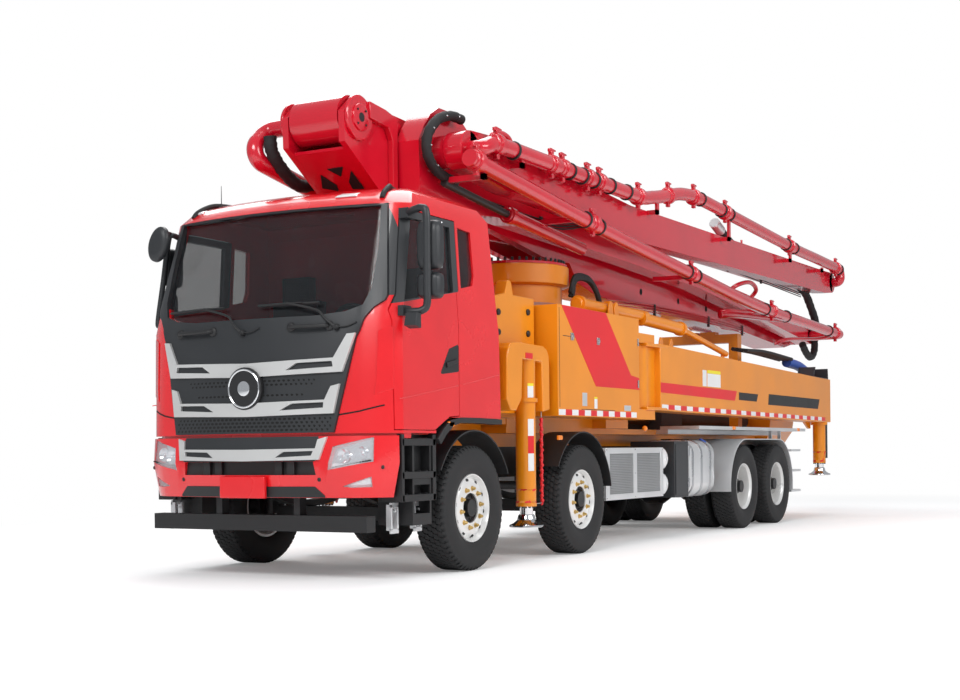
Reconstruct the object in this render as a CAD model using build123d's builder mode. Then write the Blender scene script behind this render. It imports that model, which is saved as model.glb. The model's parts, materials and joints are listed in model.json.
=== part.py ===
"""Four-axle concrete pump truck with a folded five-section boom, in millimetres.

+Z is up, the ground is Z = 0, the truck faces -Y and its left side is +X.
Every y below is measured back from the first axle; side, top and front planes
carry that offset, so an outline is written as it is measured on the truck.
"""

import os

from build123d import *

os.makedirs("parts", exist_ok=True)

# ---- driving sizes -------------------------------------------------------
FRONT_AXLE_Y = -5365.0  # puts the origin at the middle of the overall length
AXLE_Y = (0.0, 2170.0, 7000.0, 8350.0)
TYRE_R = 530.0
TYRE_W = 310.0
RIM_R = 290.0
WHEEL_X = 1085.0  # middle of an outer tyre
TWIN_PITCH = 350.0
KINGPIN_X = 905.0
HUB_R = 75.0
PIN_GAP = 0.3  # running clearance round pins and stub axles
SEAT = 0.3  # gap between curved faces that lie on each other

RAIL_IN, RAIL_OUT = 350.0, 430.0
RAIL_BOTTOM, RAIL_TOP = 750.0, 1050.0
HALF_WIDTH = 1250.0

SLEW_Y = 1100.0
SLEW_R = 600.0
RING_BOTTOM, RING_TOP = 2470.0, 2620.0
ROOT_PIN = (-370.0, 3870.0)  # y, z of the boom's root pin
REAR_PIN = (12150.0, 2820.0)  # first to second section
HEAD_PIN = (520.0, 3690.0)  # second to third section
TAIL_PIN = (12150.0, 3620.0)  # third to fourth section
TIP_PIN = (3400.0, 3620.0)  # fourth to fifth section
LIFT_PIN = (630.0, 3270.0)  # lift cylinder to turret
LIFT_EYE = (3600.0, 3320.0)  # lift cylinder to first section
PIPE_R = 75.0
PIPE_X = 1040.0

parts = []


# ---- planes and small builders -------------------------------------------
def side_plane(x):
    """Plane for outlines seen from the left: local x is y, local y is z."""
    return Plane(origin=(x, FRONT_AXLE_Y, 0), x_dir=(0, 1, 0), z_dir=(1, 0, 0))


def top_plane(z):
    """Plane for outlines seen from above: local x is x, local y is y."""
    return Plane(origin=(0, FRONT_AXLE_Y, z))


def front_plane(y):
    """Plane for outlines seen from the front: local y is z, normal to the front."""
    return Plane(origin=(0, FRONT_AXLE_Y + y, 0), x_dir=(1, 0, 0), z_dir=(0, -1, 0))


def at(x, y, z):
    return (x, FRONT_AXLE_Y + y, z)


def block(x0, x1, y0, y1, z0, z1, mode=Mode.ADD):
    """Box between two corners."""
    with Locations(at((x0 + x1) / 2, (y0 + y1) / 2, (z0 + z1) / 2)):
        Box(abs(x1 - x0), abs(y1 - y0), abs(z1 - z0), mode=mode)


def slab(points, x0, x1, mode=Mode.ADD):
    """Side outline given as (y, z) points, drawn out from x0 to x1."""
    low, high = min(x0, x1), max(x0, x1)
    with BuildSketch(side_plane(low)) as outline:
        with BuildLine():
            Polyline(*points, close=True)
        make_face()
    extrude(outline.sketch, amount=high - low, mode=mode)


def front_slab(points, y0, y1, mode=Mode.ADD):
    """Front outline given as (x, z) points, drawn out from y1 forward to y0."""
    with BuildSketch(front_plane(y1)) as outline:
        with BuildLine():
            Polyline(*points, close=True)
        make_face()
    extrude(outline.sketch, amount=y1 - y0, mode=mode)


def top_slab(points, z0, z1, mode=Mode.ADD):
    """Top outline given as (x, y) points, drawn up from z0 to z1."""
    with BuildSketch(top_plane(z0)) as outline:
        with BuildLine():
            Polyline(*points, close=True)
        make_face()
    extrude(outline.sketch, amount=z1 - z0, mode=mode)


def rod(start, end, radius, mode=Mode.ADD):
    """Round bar between two points."""
    a, b = Vector(*start), Vector(*end)
    with BuildSketch(Plane(origin=a, z_dir=b - a)) as section:
        Circle(radius)
    extrude(section.sketch, amount=(b - a).length, mode=mode)


def cross_rod(x0, x1, pin, radius, mode=Mode.ADD):
    """Round bar along X through the point (y, z)."""
    low, high = min(x0, x1), max(x0, x1)
    rod(at(low, *pin), at(high, *pin), radius, mode)


def pipe(points, radius, bend):
    """Pipe along straight runs joined by arcs of one radius."""
    with BuildLine() as route:
        FilletPolyline(*[Vector(*p) for p in points], radius=bend)
    for run in route.edges():
        with BuildSketch(Plane(origin=run @ 0, z_dir=run % 0)) as section:
            Circle(radius)
        sweep(section.sketch, path=run)


def ring(profile, x_middle, y, mode=Mode.ADD):
    """Solid of revolution about the axle at y; profile is (x, radius) points."""
    plane = Plane(origin=at(x_middle, y, TYRE_R), x_dir=(1, 0, 0), z_dir=(0, -1, 0))
    with BuildSketch(plane) as section:
        with BuildLine():
            Polyline(*profile, close=True)
        make_face()
    revolve(section.sketch, axis=Axis(at(x_middle, y, TYRE_R), (1, 0, 0)), mode=mode)


def keep(builder, name):
    builder.part.label = name
    parts.append(name)
    export_step(builder.part, f"parts/{name}.step")


SIDES = (("left", 1), ("right", -1))

# ---- chassis -------------------------------------------------------------
CROSS_Y = (-900.0, 1650.0, 3300.0, 5200.0, 7675.0, 9500.0)
RAIL_END = 9740.0
with BuildPart() as chassis:
    for side in (1, -1):
        block(side * RAIL_IN, side * RAIL_OUT, -1085, RAIL_END, RAIL_BOTTOM, RAIL_TOP)
        for y in (-980, 300):
            block(side * RAIL_OUT, side * 560, y, y + 100, 1000, 1160)
    for y in CROSS_Y:
        block(-RAIL_IN, RAIL_IN, y - 60, y + 60, RAIL_BOTTOM + 40, RAIL_TOP - 60)
keep(chassis, "chassis_frame")

# ---- axles ---------------------------------------------------------------
BEAM_Z = 470.0
DIFF_R = 230.0
with BuildPart() as axles:
    for y in AXLE_Y[:2]:
        block(-KINGPIN_X + 95, KINGPIN_X - 95, y - 55, y + 55, BEAM_Z - 60, BEAM_Z + 60)
        for side in (1, -1):
            rod(at(side * KINGPIN_X, y, 460), at(side * KINGPIN_X, y, 600), 62)
            block(side * (KINGPIN_X - 110), side * KINGPIN_X, y - 45, y + 45, 462, 580)
            rod(at(side * KINGPIN_X, y, 400), at(side * KINGPIN_X, y, 700), 25,
                mode=Mode.SUBTRACT)
    for y in AXLE_Y[2:]:
        cross_rod(-560, 560, (y, TYRE_R), 95)
        cross_rod(-1180, 1180, (y, TYRE_R), HUB_R - PIN_GAP)
        ring(((-300, 20), (300, 20), (300, 95), (110, DIFF_R), (-110, DIFF_R), (-300, 95)),
             0, y)
        rod(at(0, y - 330, TYRE_R), at(0, y, TYRE_R), 90)
keep(axles, "axles")

# ---- leaf springs --------------------------------------------------------
SPRING_X0, SPRING_X1 = 440.0, 530.0
with BuildPart() as springs:
    for side in (1, -1):
        x0, x1 = side * SPRING_X0, side * SPRING_X1
        for y in AXLE_Y[:2]:
            with BuildSketch(side_plane(min(x0, x1))):
                with BuildLine():
                    Line((y - 720, 700), (y - 720, 730))
                    ThreePointArc((y - 720, 730), (y, 590), (y + 720, 730))
                    Line((y + 720, 730), (y + 720, 700))
                    ThreePointArc((y + 720, 700), (y, BEAM_Z + 60), (y - 720, 700))
                make_face()
            extrude(amount=abs(x1 - x0))
            for end in (-700, 700):
                block(x0, x1, y + end - 40, y + end + 40, 715, 830)
                block(side * RAIL_OUT, x1, y + end - 40, y + end + 40, 800, 900)
        middle = (AXLE_Y[2] + AXLE_Y[3]) / 2
        with BuildSketch(side_plane(min(x0, x1))):
            with BuildLine():
                Line((middle - 760, 650), (middle - 760, 690))
                ThreePointArc((middle - 760, 690), (middle, 800), (middle + 760, 690))
                Line((middle + 760, 690), (middle + 760, 650))
                ThreePointArc((middle + 760, 650), (middle, 680), (middle - 760, 650))
            make_face()
        extrude(amount=abs(x1 - x0))
        block(side * RAIL_OUT, x1, middle - 120, middle + 120, 700, 980)
        for y in AXLE_Y[2:]:
            block(x0, x1, y - 60, y + 60, TYRE_R + 95 + SEAT, 665)
keep(springs, "leaf_springs")

# ---- engine, gearbox and shafts ------------------------------------------
with BuildPart() as engine:
    block(-300, 300, -560, 620, 620, 1240)
    for side in (1, -1):
        block(side * 300, side * RAIL_IN, -300, -200, 800, 900)
        block(side * 300, side * RAIL_IN, 400, 500, 800, 900)
    rod(at(0, 610, 850), at(0, 1450, 800), 200)
    rod(at(0, 1440, 690), at(0, AXLE_Y[2] - 331.8, TYRE_R), 45)
    rod(at(0, AXLE_Y[2] + DIFF_R + SEAT, TYRE_R), at(0, AXLE_Y[3] - 330 - SEAT, TYRE_R), 45)
keep(engine, "engine_block")

# ---- wheels --------------------------------------------------------------
TYRE_PROFILE = (  # share of half the width, radius
    (-0.80, RIM_R), (-1.00, 400.0), (-0.93, 490.0), (-0.72, TYRE_R),
    (0.72, TYRE_R), (0.93, 490.0), (1.00, 400.0), (0.80, RIM_R),
)


def tyre(x_middle, y):
    half = TYRE_W / 2
    ring([(share * half, r) for share, r in TYRE_PROFILE], x_middle, y)


RIM_WALL = 14.0
for number, y in enumerate(AXLE_Y, 1):
    for name, side in SIDES:
        inner = WHEEL_X - TYRE_W / 2
        outer = WHEEL_X + TYRE_W / 2
        r0, r1 = RIM_R - SEAT - RIM_WALL, RIM_R - SEAT
        with BuildPart() as wheel:
            tyre(side * WHEEL_X, y)
            if number > 2:
                tyre(side * (WHEEL_X - TWIN_PITCH), y)
                x0 = WHEEL_X - TWIN_PITCH - 120
                ring([(side * x0, r0), (side * (outer - 35), r0),
                      (side * (outer - 35), r1), (side * x0, r1)], 0, y)
                disc = WHEEL_X - TWIN_PITCH / 2
                ring([(side * (disc - 12), HUB_R), (side * (disc + 12), HUB_R),
                      (side * (disc + 12), 200), (side * (disc + 60), r1),
                      (side * (disc + 36), r1), (side * (disc - 12), 190)], 0, y)
                ring([(side * (disc - 120), HUB_R), (side * (disc + 150), HUB_R),
                      (side * (disc + 150), 125), (side * (disc - 120), 150)], 0, y)
            else:
                ring([(side * (inner + 15), r0), (side * (outer - 35), r0),
                      (side * (outer - 35), r1), (side * (inner + 15), r1)], 0, y)
                ring([(side * (outer - 90), HUB_R), (side * (outer - 60), HUB_R),
                      (side * (outer - 60), 190), (side * (outer - 110), r1),
                      (side * (outer - 134), r1), (side * (outer - 90), 180)], 0, y)
                ring([(side * (outer - 150), HUB_R), (side * (outer - 10), HUB_R),
                      (side * (outer - 10), 105), (side * (outer - 150), 120)], 0, y)
        keep(wheel, f"wheel_{number}_{name}")

# ---- knuckles ------------------------------------------------------------
for number, y in enumerate(AXLE_Y[:2], 1):
    for name, side in SIDES:
        with BuildPart() as knuckle:
            rod(at(side * KINGPIN_X, y, 380), at(side * KINGPIN_X, y, 680),
                25 - PIN_GAP)
            for z0, z1 in ((380, 450), (610, 680)):
                block(side * (KINGPIN_X - 45), side * (KINGPIN_X + 105), y - 45, y + 45,
                      z0, z1)
            block(side * (KINGPIN_X + 75), side * (KINGPIN_X + 105), y - 80, y + 80,
                  380, 680)
            cross_rod(side * (KINGPIN_X + 90), side * (WHEEL_X + 120), (y, TYRE_R),
                      HUB_R - PIN_GAP)
        keep(knuckle, f"knuckle_{number}_{name}")

# ---- cab: a loft through plan sections -----------------------------------
CAB_SECTIONS = (  # z, half width, side front y, corner x, corner y, centre y, rear y
    (1160.0, HALF_WIDTH, -1270.0, 1020.0, -1400.0, -1540.0, 450.0),
    (2030.0, HALF_WIDTH, -1250.0, 1020.0, -1340.0, -1470.0, 420.0),
    (2900.0, HALF_WIDTH - 50, -960.0, 1000.0, -1060.0, -1180.0, 350.0),
    (3000.0, HALF_WIDTH - 140, -850.0, 920.0, -930.0, -1040.0, 270.0),
)
BUMPER_SECTIONS = (
    (700.0, HALF_WIDTH - 35, -1230.0, 980.0, -1420.0, -1560.0, -990.0),
    (930.0, HALF_WIDTH, -1260.0, 1010.0, -1450.0, -1600.0, -990.0),
    (1140.0, HALF_WIDTH, -1270.0, 1020.0, -1410.0, -1560.0, -990.0),
)


def body_loft(sections, grow, z_low=0.0, z_high=0.0, mode=Mode.ADD):
    """Body skin through the sections, each grown outwards by the same amount."""
    last = len(sections) - 1
    outlines = []
    for i, (z, half, side_y, corner_x, corner_y, centre_y, rear_y) in enumerate(sections):
        z = z + (z_low if i == 0 else 0) + (z_high if i == last else 0)
        h, c = half + grow, corner_x + grow * 0.6
        s, k, m, r = side_y - grow * 0.6, corner_y - grow, centre_y - grow, rear_y + grow
        with BuildSketch(top_plane(z)) as outline:
            with BuildLine():
                Polyline((h, s), (h, r), (-h, r), (-h, s), (-c, k))
                ThreePointArc((-c, k), (0, m), (c, k))
                Line((c, k), (h, s))
            make_face()
        outlines.append(outline.sketch)
    loft(outlines, ruled=True, mode=mode)


CAB_WALL = 50.0
FLOOR_TOP = 1360.0
OUTSIDE = HALF_WIDTH + 50.0  # clear of the cab's sides
DOOR_REAR = -240.0
MIRROR_X = HALF_WIDTH + 170.0
HINGE = (HALF_WIDTH + 12.0, -1208.0)  # x, y of the doors' hinge axis
HINGE_R = 10.0
HINGE_Z = (1440.0, 1880.0)  # foot of each hinge
HINGE_H = 40.0
ROOF_SEAM = 2885.0
DOOR = ((-1215, 1180), (-665, 1180), (-275, 1330), (-275, 2080), (-240, 2100),
        (-240, 2840), (-900, 2840), (-1200, 2060))
DOOR_WINDOW = ((-1130, 2110), (-320, 2110), (-320, 2780), (-880, 2780))
REAR_WINDOW = ((-160, 2200), (30, 2200), (30, 2780), (-160, 2780))
SCREEN = ((-960, 2090), (960, 2090), (920, 2880), (-920, 2880))




def shrunk(points, gap):
    """Outline moved in by a gap on every side, about its own middle."""
    ys = [p[0] for p in points]
    zs = [p[1] for p in points]
    ym, zm = (min(ys) + max(ys)) / 2, (min(zs) + max(zs)) / 2
    sy = 1 - 2 * gap / (max(ys) - min(ys))
    sz = 1 - 2 * gap / (max(zs) - min(zs))
    return [(ym + (y - ym) * sy, zm + (z - zm) * sz) for y, z in points]


with BuildPart() as cab:
    body_loft(CAB_SECTIONS, 0)
    body_loft(CAB_SECTIONS, -CAB_WALL, z_low=FLOOR_TOP - 1160, z_high=-CAB_WALL,
              mode=Mode.SUBTRACT)
    block(-420, 420, -1200, 600, 1100, 1265, mode=Mode.SUBTRACT)
    for side in (1, -1):
        block(side * 600, side * OUTSIDE, -655, 600, 1100, 1290, mode=Mode.SUBTRACT)
        slab(DOOR, side * (HALF_WIDTH - CAB_WALL - 65), side * OUTSIDE,
             mode=Mode.SUBTRACT)
        slab(REAR_WINDOW, side * 1000, side * OUTSIDE, mode=Mode.SUBTRACT)
    front_slab(SCREEN, -1700, -900, mode=Mode.SUBTRACT)

CAB_PANELS = (  # name, y0, y1, z0, z1
    ("cab_shell", -1700.0, DOOR_REAR, 1100.0, ROOF_SEAM),
    ("cab_back", DOOR_REAR, 600.0, 1100.0, ROOF_SEAM),
    ("cab_roof", -1700.0, 600.0, ROOF_SEAM, 3100.0),
)
for name, y0, y1, z0, z1 in CAB_PANELS:
    with BuildPart() as panel:
        add(cab.part)
        block(-OUTSIDE, OUTSIDE, y0, y1, z0, z1, mode=Mode.INTERSECT)
        if name == "cab_shell":
            for side in (1, -1):
                for z in HINGE_Z:
                    foot = z + HINGE_H + SEAT
                    rod(at(side * HINGE[0], HINGE[1], foot),
                        at(side * HINGE[0], HINGE[1], foot + HINGE_H), HINGE_R)
                    block(side * HALF_WIDTH, side * HINGE[0], HINGE[1] - 30,
                          HINGE[1], foot, foot + HINGE_H)
    keep(panel, name)

with BuildPart() as pane_outlines:
    front_slab(SCREEN, -1700, -900)
    slab(REAR_WINDOW, -OUTSIDE, OUTSIDE)
with BuildPart() as panes:
    body_loft(CAB_SECTIONS, -20)
    body_loft(CAB_SECTIONS, -28, z_low=-1, z_high=1, mode=Mode.SUBTRACT)
    add(pane_outlines.part, mode=Mode.INTERSECT)
keep(panes, "cab_glass")

GRILLE = ((-830, 1165), (830, 1165), (985, 2040), (-985, 2040))
with BuildPart() as grille_panel:
    body_loft(CAB_SECTIONS, 22)
    body_loft(CAB_SECTIONS, SEAT, z_low=-1, z_high=1, mode=Mode.SUBTRACT)
    front_slab(GRILLE, -1700, -900, mode=Mode.INTERSECT)
keep(grille_panel, "grille_panel")

# U-shaped trims: half width at the tips, z of tips, half width and z of the base
TRIMS = (
    (960.0, 1950.0, 870.0, 1770.0, 70.0),
    (868.0, 1630.0, 800.0, 1400.0, 60.0),
)
with BuildPart() as trim_outlines:
    for tip_x, tip_z, base_x, base_z, depth in TRIMS:
        front_slab(((-tip_x, tip_z), (-base_x + 60, base_z), (base_x - 60, base_z),
                    (tip_x, tip_z), (base_x, base_z - depth),
                    (-base_x, base_z - depth)), -1700, -900)
with BuildPart() as trims:
    body_loft(CAB_SECTIONS, 40)
    body_loft(CAB_SECTIONS, 22 + SEAT, z_low=-1, z_high=1, mode=Mode.SUBTRACT)
    add(trim_outlines.part, mode=Mode.INTERSECT)
keep(trims, "grille_trims")

LAMP = ((760, 1050), (730, 870), (1160, 890), (1185, 1085))
with BuildPart() as bumper:
    body_loft(BUMPER_SECTIONS, 0)
    body_loft(BUMPER_SECTIONS, -60, z_low=-1, z_high=-15, mode=Mode.SUBTRACT)
    block(-1300, 1300, -1090, -900, 600, 1125, mode=Mode.SUBTRACT)
    for side in (1, -1):
        front_slab([(side * x, z) for x, z in LAMP], -1700, -1000, mode=Mode.SUBTRACT)
        block(side * 360, side * 420, -1540, -1085, 760, 1000)
keep(bumper, "bumper")

with BuildPart() as lamp_outlines:
    for side in (1, -1):
        front_slab([(side * x, z) for x, z in LAMP], -1700, -1180)
with BuildPart() as lamps:
    body_loft(BUMPER_SECTIONS, -4)
    body_loft(BUMPER_SECTIONS, -56, z_low=-1, z_high=1, mode=Mode.SUBTRACT)
    add(lamp_outlines.part, mode=Mode.INTERSECT)
keep(lamps, "headlamps")

for name, side in SIDES:
    with BuildPart() as door:
        body_loft(CAB_SECTIONS, 0)
        body_loft(CAB_SECTIONS, -CAB_WALL, z_low=-1, z_high=1, mode=Mode.SUBTRACT)
        slab(shrunk(DOOR, 7), side * 1050, side * OUTSIDE, mode=Mode.INTERSECT)
        slab(DOOR_WINDOW, side * 1000, side * OUTSIDE, mode=Mode.SUBTRACT)
        for z in HINGE_Z:
            rod(at(side * HINGE[0], HINGE[1], z), at(side * HINGE[0], HINGE[1], z + HINGE_H),
                HINGE_R)
            block(side * HALF_WIDTH, side * HINGE[0], HINGE[1], HINGE[1] + 30,
                  z, z + HINGE_H)
    keep(door, f"door_{name}")
    with BuildPart() as glass:
        body_loft(CAB_SECTIONS, -20)
        body_loft(CAB_SECTIONS, -28, z_low=-1, z_high=1, mode=Mode.SUBTRACT)
        slab(DOOR_WINDOW, side * 1050, side * OUTSIDE, mode=Mode.INTERSECT)
    keep(glass, f"door_glass_{name}")
    with BuildPart() as mirror:
        upper = MIRROR_X - 190
        rod(at(side * (upper - 11.4), -968, 2600), at(side * (upper + 10), -968, 2600), 20)
        rod(at(side * (upper + 2), -968, 2600), at(side * MIRROR_X, -1180, 2700), 18)
        rod(at(side * HALF_WIDTH, -1150, 2050), at(side * (HALF_WIDTH + 25), -1150, 2050), 20)
        rod(at(side * (HALF_WIDTH + 15), -1150, 2050), at(side * MIRROR_X, -1180, 2000), 18)
        rod(at(side * MIRROR_X, -1180, 1980), at(side * MIRROR_X, -1180, 2720), 20)
        for z0, z1 in ((2330, 2680), (2040, 2300)):
            block(side * (MIRROR_X - 90), side * (MIRROR_X + 90), -1240, -1130, z0, z1)
    keep(mirror, f"mirror_{name}")

STEERING_R = 235.0
with BuildPart() as interior:
    top_slab(((-1120, -1160), (-960, -1260), (960, -1260), (1120, -1160), (1120, -1000),
              (-1120, -1000)), FLOOR_TOP, 1950)
    for x in (-620, 620):
        block(x - 260, x + 260, -420, 120, FLOOR_TOP, 1720)
        block(x - 250, x + 250, 0, 130, 1720, 2380)
        block(x - 150, x + 150, 10, 110, 2380, 2600)
    rod(at(620, -1060, 1850), at(620, -820, 2020), 25)
    with BuildSketch(Plane(origin=at(620, -820, 2020), z_dir=(0, 240, 170))) as wheel_plan:
        Circle(STEERING_R)
        Circle(STEERING_R - 34, mode=Mode.SUBTRACT)
        Rectangle(2 * STEERING_R - 30, 40)
    extrude(wheel_plan.sketch, amount=17, both=True)
keep(interior, "cab_interior")

# ---- steps and underrun bar ----------------------------------------------
with BuildPart() as steps:
    for side in (1, -1):
        block(side * 900, side * (HALF_WIDTH - 25), -985, -700, 430, 1120)
        for z in (520, 830):
            block(side * 1000, side * HALF_WIDTH, -960, -725, z, z + 230,
                  mode=Mode.SUBTRACT)
        block(side * RAIL_OUT, side * 900, -900, -800, 800, 900)
    block(-1066, 1066, -1400, -1280, 390, 517)
    for side in (1, -1):
        block(side * 360, side * 420, -1380, -1290, 517, 750)
        block(side * 360, side * 420, -1380, -1000, 700, RAIL_BOTTOM)
keep(steps, "steps_and_underrun")

# ---- mudguards over the steered wheels -----------------------------------
GUARD_IN = TYRE_R + 120.0  # room for the steered wheel


def guard(x0, x1, y, r_in, r_out, start, end):
    """Arc-shaped guard over an axle, from start to end degrees from the rear."""
    with BuildSketch(side_plane(min(x0, x1))) as outline:
        with BuildLine():
            outer = CenterArc((y, TYRE_R), r_out, start, end - start)
            inner = CenterArc((y, TYRE_R), r_in, start, end - start)
            Line(outer @ 0, inner @ 0)
            Line(outer @ 1, inner @ 1)
        make_face()
    extrude(outline.sketch, amount=abs(x1 - x0))


with BuildPart() as guards:
    for y, start, end in ((AXLE_Y[0], 25, 150), (AXLE_Y[1], 10, 150)):
        for side in (1, -1):
            guard(side * 900, side * 1240, y, GUARD_IN, GUARD_IN + 12, start, end)
            rod(at(side * RAIL_OUT, y + 480, 960), at(side * 960, y + 480, 960), 22)
keep(guards, "front_mudguards")

# ---- pedestal with slew ring ---------------------------------------------
FRONT_LEG = (1080.0, 920.0)  # x, y
ARM_Z = (1600.0, 1880.0)
LEFT_ARM_Y = (760.0, 940.0)
RIGHT_ARM_Y = (960.0, 1140.0)
ARM_GAP = 8.0
with BuildPart() as pedestal:
    block(-700, 700, 560, 1560, 1265, 2250)
    rod(at(0, SLEW_Y, 2250), at(0, SLEW_Y, RING_BOTTOM), SLEW_R - 40)
    rod(at(0, SLEW_Y, RING_BOTTOM - 60), at(0, SLEW_Y, RING_BOTTOM), SLEW_R)
    block(-900, 900, 640, 1480, 1320, 2050)
    for side in (1, -1):
        block(side * 360, side * 430, 560, 1560, RAIL_TOP, 1265)
    for y0, y1 in (LEFT_ARM_Y, RIGHT_ARM_Y):
        block(-1300, 1300, y0 - ARM_GAP, y1 + ARM_GAP, ARM_Z[0] - SEAT,
              ARM_Z[1] + ARM_GAP, mode=Mode.SUBTRACT)
keep(pedestal, "pedestal")

# ---- deck: side boxes, subframe, hinge frames ----------------------------
BOX_Y = (1580.0, 3540.0)
BOX_Z = (1336.0, 2390.0)
REST_Y = 8730.0
REST_Z = (2600.0, 2640.0)  # tops of the boom rest under the outer and middle sections
SWING = (1080.0, 3850.0)  # x, y of the rear outriggers' hinge
with BuildPart() as deck:
    block(-440, 440, 1570, RAIL_END, RAIL_TOP, 1180)
    block(-700, 700, 1570, RAIL_END, 1180, 1240)
    for side in (1, -1):
        block(side * 440, side * 570, REST_Y - 80, REST_Y + 80, 1240, REST_Z[0])
        block(side * 20, side * 240, REST_Y - 80, REST_Y + 80, REST_Z[0], REST_Z[1])
    block(-570, 570, REST_Y - 80, REST_Y + 80, REST_Z[0] - 120, REST_Z[0])
    for side in (1, -1):
        block(side * 640, side * HALF_WIDTH, BOX_Y[0], BOX_Y[1], BOX_Z[0], BOX_Z[1])
        block(side * 640, side * 700, BOX_Y[0], BOX_Y[1], 1180, BOX_Z[0])
        block(side * 640, side * 860, BOX_Y[1], 4130, 1240, 2250)
        for z0, z1 in ((1330, 1440), (2150, 2250)):
            block(side * 700, side * 1225, BOX_Y[1], 4030, z0, z1)
            rod(at(side * SWING[0], SWING[1], z0), at(side * SWING[0], SWING[1], z1), 60,
                mode=Mode.SUBTRACT)
    block(-640, 640, BOX_Y[0], 3400, 1180, 2180)
keep(deck, "deck")

# ---- front outriggers: sliding arms with jack legs -----------------------
LEG_R, JACK_R = 140.0, 100.0
JACK_GAP = 5.0
FOOT_FRONT = 310.0
FOOT_REAR = 600.0


def jack_bore(x, y, z_low, z_high):
    """Bore for a jack's ram, close-fitting in a gland at its lower end."""
    rod(at(x, y, z_low - 10), at(x, y, z_low + 70), JACK_R + PIN_GAP, mode=Mode.SUBTRACT)
    rod(at(x, y, z_low + 60), at(x, y, z_high), JACK_R + JACK_GAP, mode=Mode.SUBTRACT)


def jack(x, y, z_top, z_foot, foot_r, name):
    """Jack leg: a round ram with its foot plate."""
    with BuildPart() as ram:
        rod(at(x, y, z_foot + 30), at(x, y, z_top), JACK_R)
        rod(at(x, y, z_foot), at(x, y, z_foot + 40), foot_r)
    keep(ram, name)


for (name, side), (y0, y1) in zip(SIDES, (LEFT_ARM_Y, RIGHT_ARM_Y)):
    leg_x, leg_y = side * FRONT_LEG[0], FRONT_LEG[1]
    with BuildPart() as arm:
        block(-side * 750, side * 1080, y0, y1, ARM_Z[0], ARM_Z[1])
        block(side * 940, side * 1220, 690, 1160, 1350, 2480)
        rod(at(leg_x, leg_y, 520), at(leg_x, leg_y, 1350), LEG_R)
        jack_bore(leg_x, leg_y, 520, 2000)
    keep(arm, f"front_outrigger_{name}")
    jack(leg_x, leg_y, 1900, FOOT_FRONT, 250, f"front_jack_{name}")

# ---- rear outriggers: swinging beams with jack legs ----------------------
BEAM_X = (950.0, 1250.0)
REAR_LEG = (1100.0, 10400.0)
for name, side in SIDES:
    x0, x1 = side * BEAM_X[0], side * BEAM_X[1]
    leg_x, leg_y = side * REAR_LEG[0], REAR_LEG[1]
    with BuildPart() as beam:
        slab(((4140, 1434), (10200, 1385), (10850, 1385), (10850, 2024), (4140, 2165)),
             x0, x1)
        rod(at(side * SWING[0], SWING[1], 1450), at(side * SWING[0], SWING[1], 2140), 130)
        rod(at(side * SWING[0], SWING[1], 1335), at(side * SWING[0], SWING[1], 2245),
            60 - PIN_GAP)
        block(side * 980, side * 1180, SWING[1], 4150, 1470, 2120)
        rod(at(leg_x, leg_y, 780), at(leg_x, leg_y, 1400), LEG_R)
        jack_bore(leg_x, leg_y, 780, 1900)
    keep(beam, f"rear_outrigger_{name}")
    jack(leg_x, leg_y, 1850, FOOT_REAR, 250, f"rear_jack_{name}")

# ---- pump unit and hopper ------------------------------------------------
with BuildPart() as pump:
    for x in (-190, 190):
        rod(at(x, 4300, 1480), at(x, 9780, 1410), 140)
    block(-420, 420, 6200, 6900, 1240, 1700)
    for y in (4500, 9300):
        block(-340, 340, y - 60, y + 60, 1240, 1460)
keep(pump, "pump_unit")

HOPPER_WALL = 30.0
with BuildPart() as hopper:
    for shrink, mode in ((0, Mode.ADD), (HOPPER_WALL, Mode.SUBTRACT)):
        for z, half, y0, y1 in ((850 + shrink, 420, 10050, 10700),
                                (1250, 640, 9800, 10900),
                                (1750 + (1 if shrink else 0), 700, 9780, 10950)):
            with BuildSketch(top_plane(z)):
                with BuildLine():
                    Polyline((-half + shrink, y0 + shrink), (half - shrink, y0 + shrink),
                             (half - shrink, y1 - shrink), (-half + shrink, y1 - shrink),
                             close=True)
                make_face()
        loft(ruled=True, mode=mode)
    for side in (1, -1):
        block(side * RAIL_IN, side * RAIL_OUT, RAIL_END, 9915, 1040, 1120)
keep(hopper, "hopper")

# ---- tanks, boxes, fenders, walkways -------------------------------------
with BuildPart() as side_box:
    for side in (1, -1):
        block(side * 700, side * 1150, 2830, 4200, 500, 1030)
        block(side * RAIL_OUT, side * 700, 3000, 3080, 900, 1000)
        block(side * RAIL_OUT, side * 700, 3900, 3980, 900, 1000)
keep(side_box, "side_boxes")

with BuildPart() as air_tanks:
    for z in (660, 920):
        rod(at(RAIL_OUT + 10, 4380, z), at(1130, 4380, z), 120)
        block(RAIL_OUT, 500, 4340, 4420, 760, 900)
keep(air_tanks, "air_tanks")

with BuildPart() as fuel_tank:
    for side in (1, -1):
        block(side * 560, side * 1160, 4560, 5750, 470, 1040)
        for y in (4760, 5500):
            block(side * RAIL_OUT, side * 560, y - 40, y + 40, 800, 1000)
keep(fuel_tank, "fuel_tanks")

FENDER_IN = 590.0
with BuildPart() as fenders:
    for side in (1, -1):
        x0, x1 = side * 560, side * 1245
        guard(x0, x1, AXLE_Y[2], FENDER_IN, FENDER_IN + 12, 90, 185)
        guard(x0, x1, AXLE_Y[3], FENDER_IN, FENDER_IN + 12, -10, 90)
        block(x0, x1, AXLE_Y[2], AXLE_Y[3], TYRE_R + FENDER_IN, TYRE_R + FENDER_IN + 12)
        for y in (AXLE_Y[2], AXLE_Y[3]):
            block(side * 441, side * 560, y - 30, y + 30, 1062, TYRE_R + FENDER_IN + 12)
            block(side * RAIL_OUT, side * 480, y - 30, y + 30, 990, 1049)
            block(side * 441, side * 480, y - 30, y + 30, 1040, 1080)
keep(fenders, "rear_fenders")

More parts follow.
